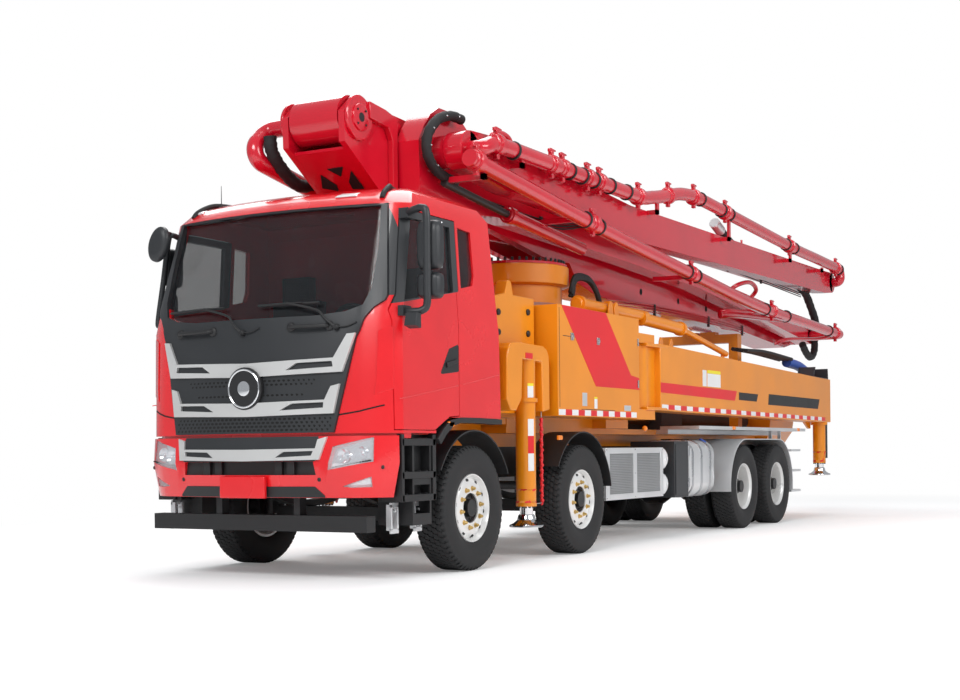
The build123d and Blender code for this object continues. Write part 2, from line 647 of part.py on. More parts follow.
with BuildPart() as walkway:
    for side in (1, -1):
        block(side * 750, side * 1240, 5340, 9580, 1240, 1280)
        block(side * 700, side * 850, 5340, 9580, 1190, 1240)
        block(side * 900, side * 940, 8960, 9000, 400, 1240)
        block(side * 900, side * 940, 9360, 9400, 400, 1240)
        for z in (400, 680, 960):
            block(side * 900, side * 1220, 8960, 9400, z, z + 30)
keep(walkway, "walkways")

# ---- turret --------------------------------------------------------------
PLATE_IN, PLATE_OUT = 262.0, 322.0
TURRET_SIDE = ((430, 3030), (-60, 3320), (-560, 3640), (-570, 3900), (-380, 4065),
               (0, 4010), (420, 3920), (1500, 3250), (1620, 3030), (1620, 2720),
               (580, 2720), (560, 3030))
with BuildPart() as turret:
    rod(at(0, SLEW_Y, RING_BOTTOM), at(0, SLEW_Y, RING_TOP), SLEW_R - 30)
    rod(at(0, SLEW_Y, RING_TOP), at(0, SLEW_Y, 2720), SLEW_R - 90)
    for side in (1, -1):
        slab(TURRET_SIDE, side * PLATE_IN, side * PLATE_OUT)
        cross_rod(side * PLATE_OUT, side * (PLATE_OUT + 25), ROOT_PIN, 130)
    slab(((430, 3030), (-60, 3320), (-480, 3590), (-460, 3620), (-40, 3350), (450, 3060)),
         -PLATE_IN, PLATE_IN)
    slab(((560, 2720), (560, 3030), (600, 3030), (600, 2720)), -PLATE_IN, PLATE_IN)
    cross_rod(-PLATE_OUT, PLATE_OUT, ROOT_PIN, 80)
    cross_rod(-PLATE_IN, PLATE_IN, LIFT_PIN, 50)
    pipe((at(-350, ROOT_PIN[0], ROOT_PIN[1]), at(-640, ROOT_PIN[0], ROOT_PIN[1]),
          at(-640, -660, 3600), at(-440, 500, 3300), at(-300, 700, 3300)), PIPE_R, 110)
keep(turret, "turret")

# ---- boom sections -------------------------------------------------------
ROOT_BORE = 80 + PIN_GAP
CHANNEL = 150.0  # half width of the lift cylinder's channel in the first section
with BuildPart() as arm_1:
    cross_rod(-250, 250, ROOT_PIN, 200)
    slab(((-400, 4065), (600, 4020), (1500, 3840), (3000, 3500), (3900, 3430),
          (11900, 2980), (12150, 2980), (12150, 2660), (11800, 2600), (4700, 3040),
          (4100, 3100), (3400, 3080), (900, 3400), (600, 3560), (-250, 3690)), -250, 250)
    slab(((850, 3470), (3000, 3440), (3850, 3400), (3850, 3000), (850, 3000)),
         -CHANNEL, CHANNEL, mode=Mode.SUBTRACT)
    for side in (1, -1):
        cross_rod(side * 250, side * 262, LIFT_EYE, 60)
    cross_rod(-250, 320, REAR_PIN, 160)
    cross_rod(320, 570, REAR_PIN, 70)
    cross_rod(-251, 251, ROOT_PIN, ROOT_BORE, mode=Mode.SUBTRACT)
keep(arm_1, "arm_1")

with BuildPart() as arm_2:
    slab(((230, 3040), (210, 3560), (560, 4110), (900, 4110), (1500, 3700), (3000, 3390),
          (11900, 2990), (12150, 2980), (12150, 2660), (11800, 2560), (4300, 2790),
          (3500, 3030)), 345, 580)
    cross_rod(345, 580, REAR_PIN, 160)
    cross_rod(340, 590, REAR_PIN, 70 + PIN_GAP, mode=Mode.SUBTRACT)
    cross_rod(580, 730, HEAD_PIN, 150)
    cross_rod(730, 920, HEAD_PIN, 70)
    pipe((at(PIPE_X, 420, 3525), at(PIPE_X, 800, 3498), at(PIPE_X, 12150, 2820),
          at(580, 12150, 2820)), PIPE_R, 150)
    for y, low, high in ((560, 3380, 3460), (2500, 3180, 3340), (5600, 3110, 3180),
                         (8700, 2930, 2990)):
        block(580, PIPE_X + 20, y - 30, y + 30, low, low + 50)
        block(PIPE_X - 20, PIPE_X + 20, y - 30, y + 30, low, high)
keep(arm_2, "arm_2")

with BuildPart() as arm_3:
    cross_rod(740, 930, HEAD_PIN, 170)
    slab(((520, 3520), (520, 3860), (900, 3860), (3000, 3700), (11700, 3760),
          (12150, 3770), (12150, 3460), (11700, 3420), (3000, 3250), (1200, 3350)),
         740, 930)
    cross_rod(740, 930, TAIL_PIN, 160)
    cross_rod(590, 740, TAIL_PIN, 120)
    cross_rod(330, 590, TAIL_PIN, 60)
    pipe((at(930, HEAD_PIN[0], HEAD_PIN[1]), at(PIPE_X, HEAD_PIN[0], HEAD_PIN[1]),
          at(PIPE_X, 1400, 3810), at(PIPE_X, 12150, 3830), at(PIPE_X, 12150, 3620),
          at(930, 12150, 3620)), PIPE_R, 90)
    for y in (2500, 5600, 8700, 11200):
        block(930, PIPE_X, y - 30, y + 30, 3700, 3770)
    cross_rod(735, 925, HEAD_PIN, 70 + PIN_GAP, mode=Mode.SUBTRACT)
keep(arm_3, "arm_3")

with BuildPart() as arm_4:
    slab(((12150, 3480), (12150, 3760), (3400, 3740), (3400, 3500)), 350, 560)
    cross_rod(350, 560, TAIL_PIN, 140)
    cross_rod(345, 565, TAIL_PIN, 60 + PIN_GAP, mode=Mode.SUBTRACT)
    cross_rod(350, 560, TIP_PIN, 120)
    cross_rod(100, 350, TIP_PIN, 50)
keep(arm_4, "arm_4")

with BuildPart() as arm_5:
    slab(((3400, 3530), (3400, 3710), (10600, 3690), (10600, 3580)), 130, 320)
    cross_rod(130, 320, TIP_PIN, 90)
    cross_rod(125, 325, TIP_PIN, 50 + PIN_GAP, mode=Mode.SUBTRACT)
keep(arm_5, "arm_5")

# ---- lift cylinder -------------------------------------------------------
LIFT_TILT = (LIFT_EYE[1] - LIFT_PIN[1]) / (LIFT_EYE[0] - LIFT_PIN[0])


def on_lift(y):
    """Point on the lift cylinder's middle line."""
    return at(0, y, LIFT_PIN[1] + (y - LIFT_PIN[0]) * LIFT_TILT)


with BuildPart() as barrel:
    rod(on_lift(700), on_lift(2950), 105)
    cross_rod(-225, 225, LIFT_PIN, 80)
    cross_rod(-330, 330, LIFT_PIN, 50 + PIN_GAP, mode=Mode.SUBTRACT)
    rod(on_lift(780), on_lift(3000), 70 + 5, mode=Mode.SUBTRACT)
keep(barrel, "lift_barrel")
with BuildPart() as lift_rod:
    rod(on_lift(800), on_lift(3560), 70)
    cross_rod(-130, 130, LIFT_EYE, 75)
    cross_rod(-CHANNEL + SEAT, CHANNEL - SEAT, LIFT_EYE, 35)
keep(lift_rod, "lift_rod")

print(len(parts), "sub-parts")
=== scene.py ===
import json
import math

import bmesh
import bpy
from mathutils import Matrix, Vector


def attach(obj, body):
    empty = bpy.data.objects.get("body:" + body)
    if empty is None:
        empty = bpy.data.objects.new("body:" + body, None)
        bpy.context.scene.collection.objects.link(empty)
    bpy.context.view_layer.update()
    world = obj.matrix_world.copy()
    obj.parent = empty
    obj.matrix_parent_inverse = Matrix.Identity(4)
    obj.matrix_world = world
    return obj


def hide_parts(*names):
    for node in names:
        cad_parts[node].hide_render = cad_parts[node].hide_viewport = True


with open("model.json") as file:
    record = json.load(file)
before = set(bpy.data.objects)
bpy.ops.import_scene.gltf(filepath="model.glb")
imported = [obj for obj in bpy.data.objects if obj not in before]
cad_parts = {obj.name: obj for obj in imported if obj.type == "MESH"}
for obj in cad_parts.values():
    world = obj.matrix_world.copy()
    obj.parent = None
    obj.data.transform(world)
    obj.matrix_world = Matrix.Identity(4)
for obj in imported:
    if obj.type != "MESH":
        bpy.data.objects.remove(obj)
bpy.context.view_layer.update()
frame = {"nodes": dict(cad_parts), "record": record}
scene = bpy.context.scene
AXLE_1 = -5.365  # y of the first axle in the row frame
UP = (0, 0, 1)


# ---- camera ----------------------------------------------------------------
cam_data = bpy.data.cameras.new("camera")
cam_data.sensor_width = 36.0
cam_data.lens = 54.64
cam_data.shift_y = 0.104
cam_data.clip_end = 500.0
camera = bpy.data.objects.new("camera", cam_data)
scene.collection.objects.link(camera)
camera.matrix_world = (
    Matrix.Translation((7.28, -16.115, 1.022))
    @ Matrix.Rotation(math.radians(29.14), 4, "Z")
    @ Matrix.Rotation(math.radians(90.0), 4, "X")
    @ Matrix.Rotation(math.radians(-0.54), 4, "Z")
)
scene.camera = camera
scene.view_settings.view_transform = "Standard"


# ---- materials -------------------------------------------------------------
ANTHRACITE = (0.024, 0.026, 0.029)
WEAR = 0.1  # how far the gloss of a finish drifts


def add(tree, kind, inputs, **settings):
    """A shader node, with a value or a link for each input that inputs names."""
    node = tree.nodes.new("ShaderNode" + kind)
    for key, value in settings.items():
        setattr(node, key, value)
    for key, value in inputs.items():
        if isinstance(value, bpy.types.NodeSocket):
            tree.links.new(value, node.inputs[key])
        else:
            node.inputs[key].default_value = value
    return node


def new_material(name, **values):
    """A material, its node tree and its main shader with the values given."""
    mat = bpy.data.materials.new(name)
    mat.use_nodes = True
    shader = mat.node_tree.nodes["Principled BSDF"]
    for key, value in values.items():
        shader.inputs[key.replace("_", " ")].default_value = value
    return mat, mat.node_tree, shader


def noise(tree, scale, detail=3.0, stretch=None):
    """Noise in object space, as a factor."""
    place = add(tree, "TexCoord", {}).outputs["Object"]
    tex = add(tree, "TexNoise", {"Scale": scale, "Detail": detail})
    if stretch:
        mapping = add(tree, "Mapping", {"Scale": stretch, "Vector": place})
        place = mapping.outputs["Vector"]
    tree.links.new(place, tex.inputs["Vector"])
    return tex.outputs["Fac"]


def spread(tree, factor, low, high):
    """Maps a 0.3 to 0.7 noise onto low to high."""
    return add(tree, "MapRange", {"From Min": 0.3, "From Max": 0.7, "To Min": low,
                                  "To Max": high, "Value": factor}).outputs["Result"]


def bump(tree, shader, height, strength, distance=0.002):
    """A fine relief on the shader from a height."""
    node = add(tree, "Bump", {"Strength": strength, "Distance": distance, "Height": height})
    tree.links.new(node.outputs["Normal"], shader.inputs["Normal"])


def surface(name, colour, rough, metal=0.0, vary=0.08, grain=60.0, relief=0.1, coat=0.0,
            stretch=None, distance=0.002):
    """One procedural finish: colour drift, uneven gloss and a fine relief."""
    mat, tree, shader = new_material(name, Metallic=metal)
    broad = noise(tree, 1.7, 5.0)
    fine = noise(tree, grain, 2.0, stretch)
    dark = tuple(c * (1 - vary) for c in colour)
    light = tuple(min(1.0, c * (1 + vary)) for c in colour)
    drift = add(tree, "Mix", {}, data_type="RGBA")
    drift.inputs["A"].default_value = (*dark, 1)
    drift.inputs["B"].default_value = (*light, 1)
    tree.links.new(spread(tree, broad, 0.0, 1.0), drift.inputs["Factor"])
    tree.links.new(drift.outputs["Result"], shader.inputs["Base Color"])
    tree.links.new(spread(tree, broad, rough * (1 - WEAR), rough * (1 + WEAR)),
                   shader.inputs["Roughness"])
    if coat:
        shader.inputs["Coat Weight"].default_value = coat
        shader.inputs["Coat Roughness"].default_value = 0.06
    bump(tree, shader, fine, relief, distance)
    return mat


# name, which is also its slot: colour, roughness, then what differs from the plain finish
FINISHES = (
    ("red_paint", (0.76, 0.007, 0.013), 0.26, dict(vary=0.05, grain=90, relief=0.02, coat=0.6)),
    ("orange_paint", (0.8, 0.26, 0.004), 0.34, dict(vary=0.06, grain=80, relief=0.03, coat=0.35)),
    ("black_frame", (0.012, 0.012, 0.013), 0.42, dict(vary=0.2, grain=120, relief=0.06)),
    ("black_plastic", (0.014, 0.014, 0.015), 0.5, dict(vary=0.15, grain=350, relief=0.15,
                                                       distance=0.001)),
    ("anthracite", ANTHRACITE, 0.42, dict(vary=0.08, grain=400, relief=0.12, distance=0.001)),
    ("aluminium", (0.74, 0.75, 0.76), 0.34, dict(metal=0.6, vary=0.06, grain=40, relief=0.05,
                                                 stretch=(1, 25, 1))),
    ("tyre", (0.016, 0.016, 0.017), 0.72, dict(vary=0.25, grain=140, relief=0.2)),
    ("white_paint", (0.78, 0.79, 0.8), 0.3, dict(vary=0.04, grain=90, relief=0.02, coat=0.3)),
    ("grey_iron", (0.05, 0.05, 0.053), 0.6, dict(vary=0.25, grain=150, relief=0.3)),
    ("seat", (0.03, 0.03, 0.034), 0.85, dict(vary=0.2, grain=600, relief=0.4, distance=0.001)),
    ("steel", (0.55, 0.56, 0.58), 0.28, dict(metal=1.0, vary=0.06, grain=60, relief=0.04,
                                             stretch=(1, 1, 12))), )
EXTRA_FINISHES = (  # those of the scene alone, with the record's slot that they stand for
    # the boom's deeper crimson paint, made darker still as painted shade
    ("boom_red", "red_paint", (0.6, 0.004, 0.02), 0.22, dict(vary=0.06, grain=90, relief=0.02,
                                                               coat=0.8)),
    ("rim", "white_paint", (0.8, 0.8, 0.79), 0.3, dict(metal=0.25, vary=0.05, grain=120,
                                                          relief=0.05, coat=0.2)),
    ("brass", "steel", (0.62, 0.43, 0.16), 0.32, dict(metal=0.9, vary=0.15, grain=90)),
    ("chrome", "steel", (0.82, 0.83, 0.85), 0.12, dict(metal=1.0, vary=0.03, grain=30,
                                                       relief=0.02)),
    ("rubber", "black_plastic", (0.01, 0.01, 0.011), 0.6, dict(vary=0.2, grain=200, relief=0.3)),
    ("hose", "black_plastic", (0.012, 0.012, 0.013), 0.75, dict(vary=0.25, grain=260,
                                                                relief=0.5)),
    ("white_tape", "white_paint", (0.8, 0.8, 0.8), 0.35, dict(vary=0.04, grain=900,
                                                                 distance=0.001)),
    ("red_tape", "red_paint", (0.72, 0.012, 0.018), 0.35, dict(vary=0.05, grain=900,
                                                               distance=0.001)),
    ("yellow_tape", "orange_paint", (0.85, 0.72, 0.03), 0.4, dict(vary=0.04, grain=900,
                                                                  relief=0.05, distance=0.001)),
    ("amber", "lamp", (0.95, 0.25, 0.01), 0.2, dict(vary=0.05, relief=0.05, coat=0.6)),
    ("blue_cap", "black_plastic", (0.03, 0.1, 0.45), 0.45, dict(vary=0.1, grain=120)),
    ("trim", "aluminium", (0.7, 0.7, 0.69), 0.3, dict(metal=0.45, vary=0.04, relief=0.05,
                                                         coat=0.3)),
    # near-black painted shade, put in holes, openings and the seam gap where no surface is lit
    ("hole", "black_plastic", (0.004, 0.004, 0.004), 0.8, dict(vary=0.2, grain=200, relief=0.2)),
    ("perforated", "aluminium", (0.46, 0.47, 0.48), 0.42, dict(metal=0.7, grain=300, relief=0.2)),
)


def glass_material(name, tint, opacity):
    """Clear glass or plastic, very slightly uneven."""
    mat, tree, shader = new_material(name, Base_Color=(*tint, 1), Roughness=0.03, IOR=1.5,
                                     Alpha=opacity)
    bump(tree, shader, noise(tree, 3.0, 2.0), 0.02)
    return mat


def zone(tree, tests):
    """1 where every test holds: a direction and the least value along it."""
    place = add(tree, "TexCoord", {}).outputs["Object"]
    result = None
    for direction, least in tests:
        dot = add(tree, "VectorMath", {1: direction, 0: place}, operation="DOT_PRODUCT")
        test = add(tree, "Math", {1: least, 0: dot.outputs["Value"]},
                   operation="GREATER_THAN").outputs[0]
        if result:
            test = add(tree, "Math", {0: result, 1: test}, operation="MULTIPLY").outputs[0]
        result = test
    return result


def two_zones(name, source, second, rough, tests):
    """A copy of a finish that takes a second colour and gloss inside a zone."""
    mat = source.copy()
    mat.name = name
    tree = mat.node_tree
    shader = tree.nodes["Principled BSDF"]
    colour, gloss = shader.inputs["Base Color"], shader.inputs["Roughness"]
    first = add(tree, "Mix", {}, data_type="RGBA")
    first.inputs["B"].default_value = (*second, 1)
    tree.links.new(colour.links[0].from_socket, first.inputs["A"])
    inside = zone(tree, tests)
    tree.links.new(inside, first.inputs["Factor"])
    tree.links.new(first.outputs["Result"], colour)
    mix = add(tree, "Mix", {"B": rough, "A": gloss.links[0].from_socket, "Factor": inside})
    tree.links.new(mix.outputs["Result"], gloss)
    return mat


MAT = {name: surface(name, colour, rough, **rest) for name, colour, rough, rest in FINISHES}
for name, tint, opacity in (("glass", (0.02, 0.023, 0.026), 0.4),
                            ("lamp", (0.75, 0.78, 0.82), 0.35),
                            ("lens", (0.85, 0.88, 0.92), 0.22)):
    MAT[name] = glass_material(name, tint, opacity)
SLOT_OF = {name: name for name in MAT}
SLOT_OF.update(lens="lamp", cab_paint="red_paint", door_paint="red_paint")
for name, slot, colour, rough, rest in EXTRA_FINISHES:
    MAT[name] = surface(name, colour, rough, **rest)
    SLOT_OF[name] = slot
# the dark band round the windscreen, and its part on the doors, which rises to the rear
BAND_Y, BAND_LOW, BAND_HIGH, BAND_ROUGH = -1.02, 2.235, 2.972, 0.42
DOOR_Y, DOOR_LOW, DOOR_RISE = -1.15, 2.175, 0.18
MAT["cab_paint"] = two_zones("cab_paint", MAT["red_paint"], ANTHRACITE, BAND_ROUGH, [
    (UP, BAND_LOW), ((0, 0, -1), -BAND_HIGH), ((0, -1, 0), -BAND_Y - AXLE_1)])
MAT["door_paint"] = two_zones("door_paint", MAT["red_paint"], ANTHRACITE, BAND_ROUGH, [
    ((0, -DOOR_RISE, 1), DOOR_LOW - DOOR_RISE * (DOOR_Y + AXLE_1))])

for entry in frame["record"]["subparts"]:
    node = frame["nodes"][entry["node"]]
    node.data.materials.clear()
    node.data.materials.append(MAT[entry["material_slot"]])


# ---- mesh helpers ----------------------------------------------------------
def at(x, y, z):
    """Row-frame point from x, y behind the first axle and z, in metres."""
    return Vector((x, y + AXLE_1, z))


def frame_of(direction):
    """Two unit vectors square to a direction."""
    d = direction.normalized()
    other = Vector(UP) if abs(d.z) < 0.9 else Vector((1, 0, 0))
    u = d.cross(other).normalized()
    return u, d.cross(u).normalized()


def upright(x, *points):
    """Points (y, z) in the upright plane at x."""
    return [at(x, y, z) for y, z in points]


def turned(count, start=0.0):
    """Angles of count even steps of a full turn."""
    return [2 * math.pi * i / count + start for i in range(count)]


def places_round(centre, axis, circle, count, start=0.0):
    """Points on a circle about an axis."""
    u, v = frame_of(Vector(axis))
    return [centre + (u * math.cos(t) + v * math.sin(t)) * circle for t in turned(count, start)]


class Form:
    """Collects simple solids into one mesh object."""

    def __init__(self):
        self.bm = bmesh.new()

    def loft(self, rings, caps=True, closed=False):
        rows = [[self.bm.verts.new(p) for p in ring] for ring in rings]
        n = len(rows[0])
        pairs = list(zip(rows, rows[1:]))
        if closed:
            pairs.append((rows[-1], rows[0]))
        for a, b in pairs:
            for i in range(n):
                j = (i + 1) % n
                self.bm.faces.new((a[i], a[j], b[j], b[i]))
        if caps and not closed:
            self.bm.faces.new(rows[0][::-1])
            self.bm.faces.new(rows[-1])
        return self

    def prism(self, outline, axis, lo, hi):
        """Outline in the two other axes, pushed from lo to hi along axis."""
        def place(p, value):
            if axis == "x":
                return at(value, p[0], p[1])
            if axis == "y":
                return at(p[0], value, p[1])
            return at(p[0], p[1], value)
        return self.loft([[place(p, lo) for p in outline], [place(p, hi) for p in outline]])

    def box(self, x0, x1, y0, y1, z0, z1):
        return self.prism(((x0, y0), (x1, y0), (x1, y1), (x0, y1)), "z", z0, z1)

    def plate(self, outline, side, near, far):
        """An outline (y, z) on one side of the truck, between two distances from the middle."""
        return self.prism(outline, "x", side * near, side * far)

    def slab(self, side, near, far, y0, y1, z0, z1):
        """A box on one side of the truck."""
        return self.box(*sorted((side * near, side * far)), y0, y1, z0, z1)

    def lathe(self, profile, centre, axis, segments=32, closed=False):
        """Profile of (distance along the axis, radius)."""
        axis = Vector(axis).normalized()
        return self.loft([places_round(centre + axis * along, axis, max(radius, 0.0004), segments)
                          for along, radius in profile], closed=closed)

    def rod(self, a, b, radius, segments=16):
        return self.lathe(((0, radius * 0.85), (radius * 0.15, radius),
                           ((b - a).length - radius * 0.15, radius),
                           ((b - a).length, radius * 0.85)), a, b - a, segments)

    def tube(self, points, radius, segments=12, wrinkle=0.0):
        """A round tube along a smooth line through the points."""
        line = smooth_line(points)
        u, v = frame_of(line[1] - line[0])
        rings = []
        for i, p in enumerate(line):
            d = (line[min(i + 1, len(line) - 1)] - line[max(i - 1, 0)]).normalized()
            u = (u - d * u.dot(d)).normalized()
            v = d.cross(u)
            r = radius * (1 + wrinkle * math.sin(i * 2.4) + 0.5 * wrinkle * math.sin(i * 5.1))
            rings.append([p + (u * math.cos(t) + v * math.sin(t)) * r
                          for t in turned(segments)])
        return self.loft(rings)

    def ball(self, centre, radius, scale=(1, 1, 1)):
        matrix = Matrix.Translation(centre) @ Matrix.Diagonal((*scale, 1))
        bmesh.ops.create_uvsphere(self.bm, u_segments=16, v_segments=10, radius=radius,
                                  matrix=matrix)
        return self

    def bolts(self, centre, axis, circle, count, size, height, start=0.0):
        for place in places_round(centre, axis, circle, count, start):
            self.lathe(((0, size), (height * 0.8, size), (height, size * 0.8)), place, axis, 6)
        return self

    def collar(self, centre, axis, half, inner, outer, segments=24):
        """A raised ring round a rod or tube."""
        return self.lathe(((-half, inner), (-half, outer), (half, outer), (half, inner)),
                          centre, axis, segments)

    def done(self, name, material, body="root", smooth=30.0, bevel=0.0):
        bmesh.ops.recalc_face_normals(self.bm, faces=self.bm.faces)
        mesh = bpy.data.meshes.new(name)
        self.bm.to_mesh(mesh)
        self.bm.free()
        mesh.materials.append(MAT[material])
        obj = bpy.data.objects.new(name, mesh)
        scene.collection.objects.link(obj)
        if smooth:
            mesh.shade_smooth()
            mesh.set_sharp_from_angle(angle=math.radians(smooth))
        if bevel:
            mod = obj.modifiers.new("bevel", "BEVEL")
            mod.width = bevel
            mod.segments = 2
            mod.limit_method = "ANGLE"
        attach(obj, body)
        return obj


def smooth_line(points, steps=6):
    """Points along a curve through the given ones."""
    points = [p if isinstance(p, Vector) else at(*p) for p in points]
    ends = [points[0] * 2 - points[1]] + points + [points[-1] * 2 - points[-2]]
    line = []
    for a, b, c, d in zip(ends, ends[1:], ends[2:], ends[3:]):
        for k in range(steps):
            t = k / steps
            line.append(0.5 * (2 * b + (c - a) * t + (2 * a - 5 * b + 4 * c - d) * t * t
                               + (3 * b - a - 3 * c + d) * t ** 3))
    line.append(points[-1])
    return line


def on_path(path, y):
    """Height at y along a run of (y, z) points, and the run's slope there."""
    for (y0, z0), (y1, z1) in zip(path, path[1:]):
        if y <= y1 or (y1, z1) == path[-1]:
            return z0 + (y - y0) * (z1 - z0) / (y1 - y0), (z1 - z0) / (y1 - y0)


# ---- wheels ----------------------------------------------------------------
AXLE_Y = (0.0, 2.17, 7.0, 8.35)
TYRE_R, TREAD_R, WHEEL_X, TWIN_X = 0.53, 0.516, 1.085, 0.735
SIDES = (("left", 1), ("right", -1))
HALF_TYRE = ((0.12, 0.292), (0.128, 0.3), (0.132, 0.318), (0.146, 0.345), (0.1535, 0.38),
             (0.155, 0.41), (0.152, 0.44), (0.146, 0.466), (0.1445, 0.47), (0.142, 0.49),
             (0.134, 0.508), (0.118, TREAD_R))
RIBS = (-0.112, -0.066, -0.022, 0.022, 0.066, 0.112)
GROOVE, SWING = 0.0035, 0.008  # half a groove, and how far a block's edges swing
PITCHES = 60
PITCH = 2 * math.pi / PITCHES
NUTS, NUT_CIRCLE, FIRST_NUT = 10, 0.1675, 0.16
FRONT_RIM = ((0.122, 0.291), (0.129, 0.287), (0.127, 0.28), (0.112, 0.274), (0.098, 0.262),
             (0.086, 0.256), (0.088, 0.246), (0.101, 0.226), (0.107, 0.206), (0.107, 0.128),
             (0.096, 0.126), (0.094, 0.205), (0.07, 0.262), (-0.12, 0.268), (-0.12, 0.288),
             (0.11, 0.288))
REAR_RIM = ((0.122, 0.291), (0.129, 0.287), (0.127, 0.28), (0.112, 0.274), (0.1, 0.262),
            (0.06, 0.258), (0.0, 0.256), (-0.06, 0.252), (-0.1, 0.238), (-0.12, 0.215),
            (-0.128, 0.2), (-0.128, 0.12), (-0.14, 0.12), (-0.14, 0.21), (-0.11, 0.262),
            (0.11, 0.285))


def tyre_form(x, y):
    """Carcass, five rows of staggered tread blocks and the shoulder blocks."""
    form = Form()
    centre = at(x, y, TYRE_R)
    profile = [(-a, r) for a, r in HALF_TYRE] + [(a, r) for a, r in HALF_TYRE[::-1]]
    form.lathe(profile + [(0.1, 0.286), (-0.1, 0.286)], centre, (1, 0, 0), 96, closed=True)

    def ring(points):
        return [centre + Vector((w, r * math.cos(t), r * math.sin(t))) for w, r, t in points]

    for rib, (a, b) in enumerate(zip(RIBS, RIBS[1:])):
        corners = ((a + GROOVE, 0.06), (a + GROOVE - SWING * 0.5 + 0.004, 0.5),
                   (a + GROOVE, 0.94), (b - GROOVE, 0.94), (b - GROOVE + SWING, 0.5),
                   (b - GROOVE, 0.06))
        middle = (a + b) / 2
        for k in range(PITCHES):
            t0 = (k + 0.5 * (rib % 2)) * PITCH
            form.loft([ring((middle + (edge - middle) * shrink, radius,
                             t0 + PITCH * (0.5 + (share - 0.5) * shrink
                                           + 0.25 * (edge - a) / (b - a)))
                            for edge, share in corners)
                       for radius, shrink in ((TREAD_R - 0.006, 1.0), (TYRE_R - 0.002, 1.0),
                                              (TYRE_R, 0.9))])
    for k in range(PITCHES):
        t0, t1 = (k + 0.25) * PITCH, (k + 0.8) * PITCH
        for sign in (1, -1):
            form.loft([ring(((sign * w, r, t0), (sign * w, r, t1), (sign * w, r - 0.02, t1),
                             (sign * w, r - 0.02, t0)))
                       for w, r in ((0.1145, TYRE_R - 0.001), (0.1335, 0.5155), (0.1415, 0.497))])
    return form


for number, y in enumerate(AXLE_Y, 1):
    for name, side in SIDES:
        body = f"wheel_{number}_{name}"
        rear = number > 2
        centre = at(side * WHEEL_X, y, TYRE_R)
        axis = Vector((side, 0, 0))
        tyre = tyre_form(side * WHEEL_X, y).done(f"tyre_{number}_{name}", "tyre", body, 40)
        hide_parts(body)
        if rear:
            tyre_form(side * TWIN_X, y).done(f"tyre_inner_{number}_{name}", "tyre", body, 40)
        rim = Form().lathe(REAR_RIM if rear else FRONT_RIM, centre, axis, 72, closed=True)
        rim.done(f"rim_{number}_{name}", "rim", body, 35)
        disc = centre + axis * (-0.128 if rear else 0.107)
        nuts = Form().bolts(disc, axis, NUT_CIRCLE, NUTS, 0.0165, 0.026, FIRST_NUT)
        for place in places_round(disc, axis, NUT_CIRCLE, NUTS, FIRST_NUT):
            nuts.lathe(((0, 0.022), (0.004, 0.022)), place, axis, 16)
            nuts.rod(place, place + axis * 0.034, 0.01, 10)
        nuts.done(f"lug_nuts_{number}_{name}", "brass", body)
        hub = Form()
        if rear:
            hub.lathe(((-0.13, 0.128), (-0.06, 0.125), (-0.05, 0.118), (0.02, 0.105),
                       (0.03, 0.098), (0.034, 0.06), (0.034, 0)), centre, axis, 40)
            hub.bolts(centre + axis * 0.028, axis, 0.084, 10, 0.008, 0.014)
        else:
            hub.lathe(((0.02, 0.125), (0.07, 0.124), (0.074, 0.118), (0.074, 0.08),
                       (0.08, 0.074), (0.106, 0.07), (0.112, 0.064), (0.113, 0)),
                      centre, axis, 40)
            hub.bolts(centre + axis * 0.073, axis, 0.1, 10, 0.007, 0.01)
            hub.bolts(centre + axis * 0.111, axis, 0.046, 6, 0.006, 0.008)
        hub.done(f"hub_{number}_{name}", "black_frame", body)
        # dark discs in the rim's hand holes: painted shade inside the holes
        hole_shade_discs = Form()
        radius, where = (0.226, -0.112) if rear else (0.2345, 0.0975)
        for place in places_round(centre + axis * where, axis, radius, NUTS,
                                  FIRST_NUT + math.pi / NUTS):
            hole_shade_discs.lathe(((-0.01, 0.017), (0.0015, 0.017)), place, axis, 16)
        hole_shade_discs.done(f"hand_holes_{number}_{name}", "black_frame", body)
        v = frame_of(axis)[1]
        stem = centre + axis * (0.02 if rear else 0.095) + v * 0.25
        valve = Form().rod(stem, stem + axis * 0.035 - v * 0.02, 0.005, 8)
        valve.done(f"valve_{number}_{name}", "black_plastic", body)


# ---- cab -------------------------------------------------------------------
SKIN_X = 1.25  # half the width of the body
BEFORE_CAB = -1.7  # y in front of everything on the cab
CAB = (  # z, half width, side front y, corner x, corner y, centre y, rear y
    (1.16, 1.25, -1.15, 0.93, -1.385, -1.5, 0.45), (2.03, 1.25, -1.15, 0.93, -1.33, -1.45, 0.42),
    (2.99, 1.19, -0.9, 0.9, -1.05, -1.15, 0.34), (3.09, 1.13, -0.8, 0.85, -0.95, -1.04, 0.26),
    (3.15, 1.02, -0.66, 0.76, -0.8, -0.88, 0.12), )
BUMPER = (
    (0.66, 1.21, -1.13, 0.93, -1.4, -1.52, -0.9), (0.93, 1.25, -1.165, 0.94, -1.44, -1.56, -0.9),
    (1.14, 1.25, -1.165, 0.93, -1.4, -1.515, -0.9), )
SCREEN_HALF = ((1.005, 2.965), (1.035, 2.64), (1.035, 2.29), (0.985, 2.16), (0.85, 2.112),
               (0.59, 2.086))
MASK_HALF = ((1.05, 2.975), (1.15, 2.237), (1.137, 2.193), (1.068, 2.138), (1.012, 2.06),
             (0.978, 1.963), (0.948, 1.905), (0.79, 1.168))
DOOR = ((-1.15, 2.25), (-1.215, 2.12), (-1.215, 1.18), (-0.665, 1.18), (-0.43, 1.29),
        (-0.275, 1.3), (-0.275, 2.33), (-0.24, 2.35), (-0.24, 2.93), (-0.985, 2.93))
DOOR_GAP = 0.007
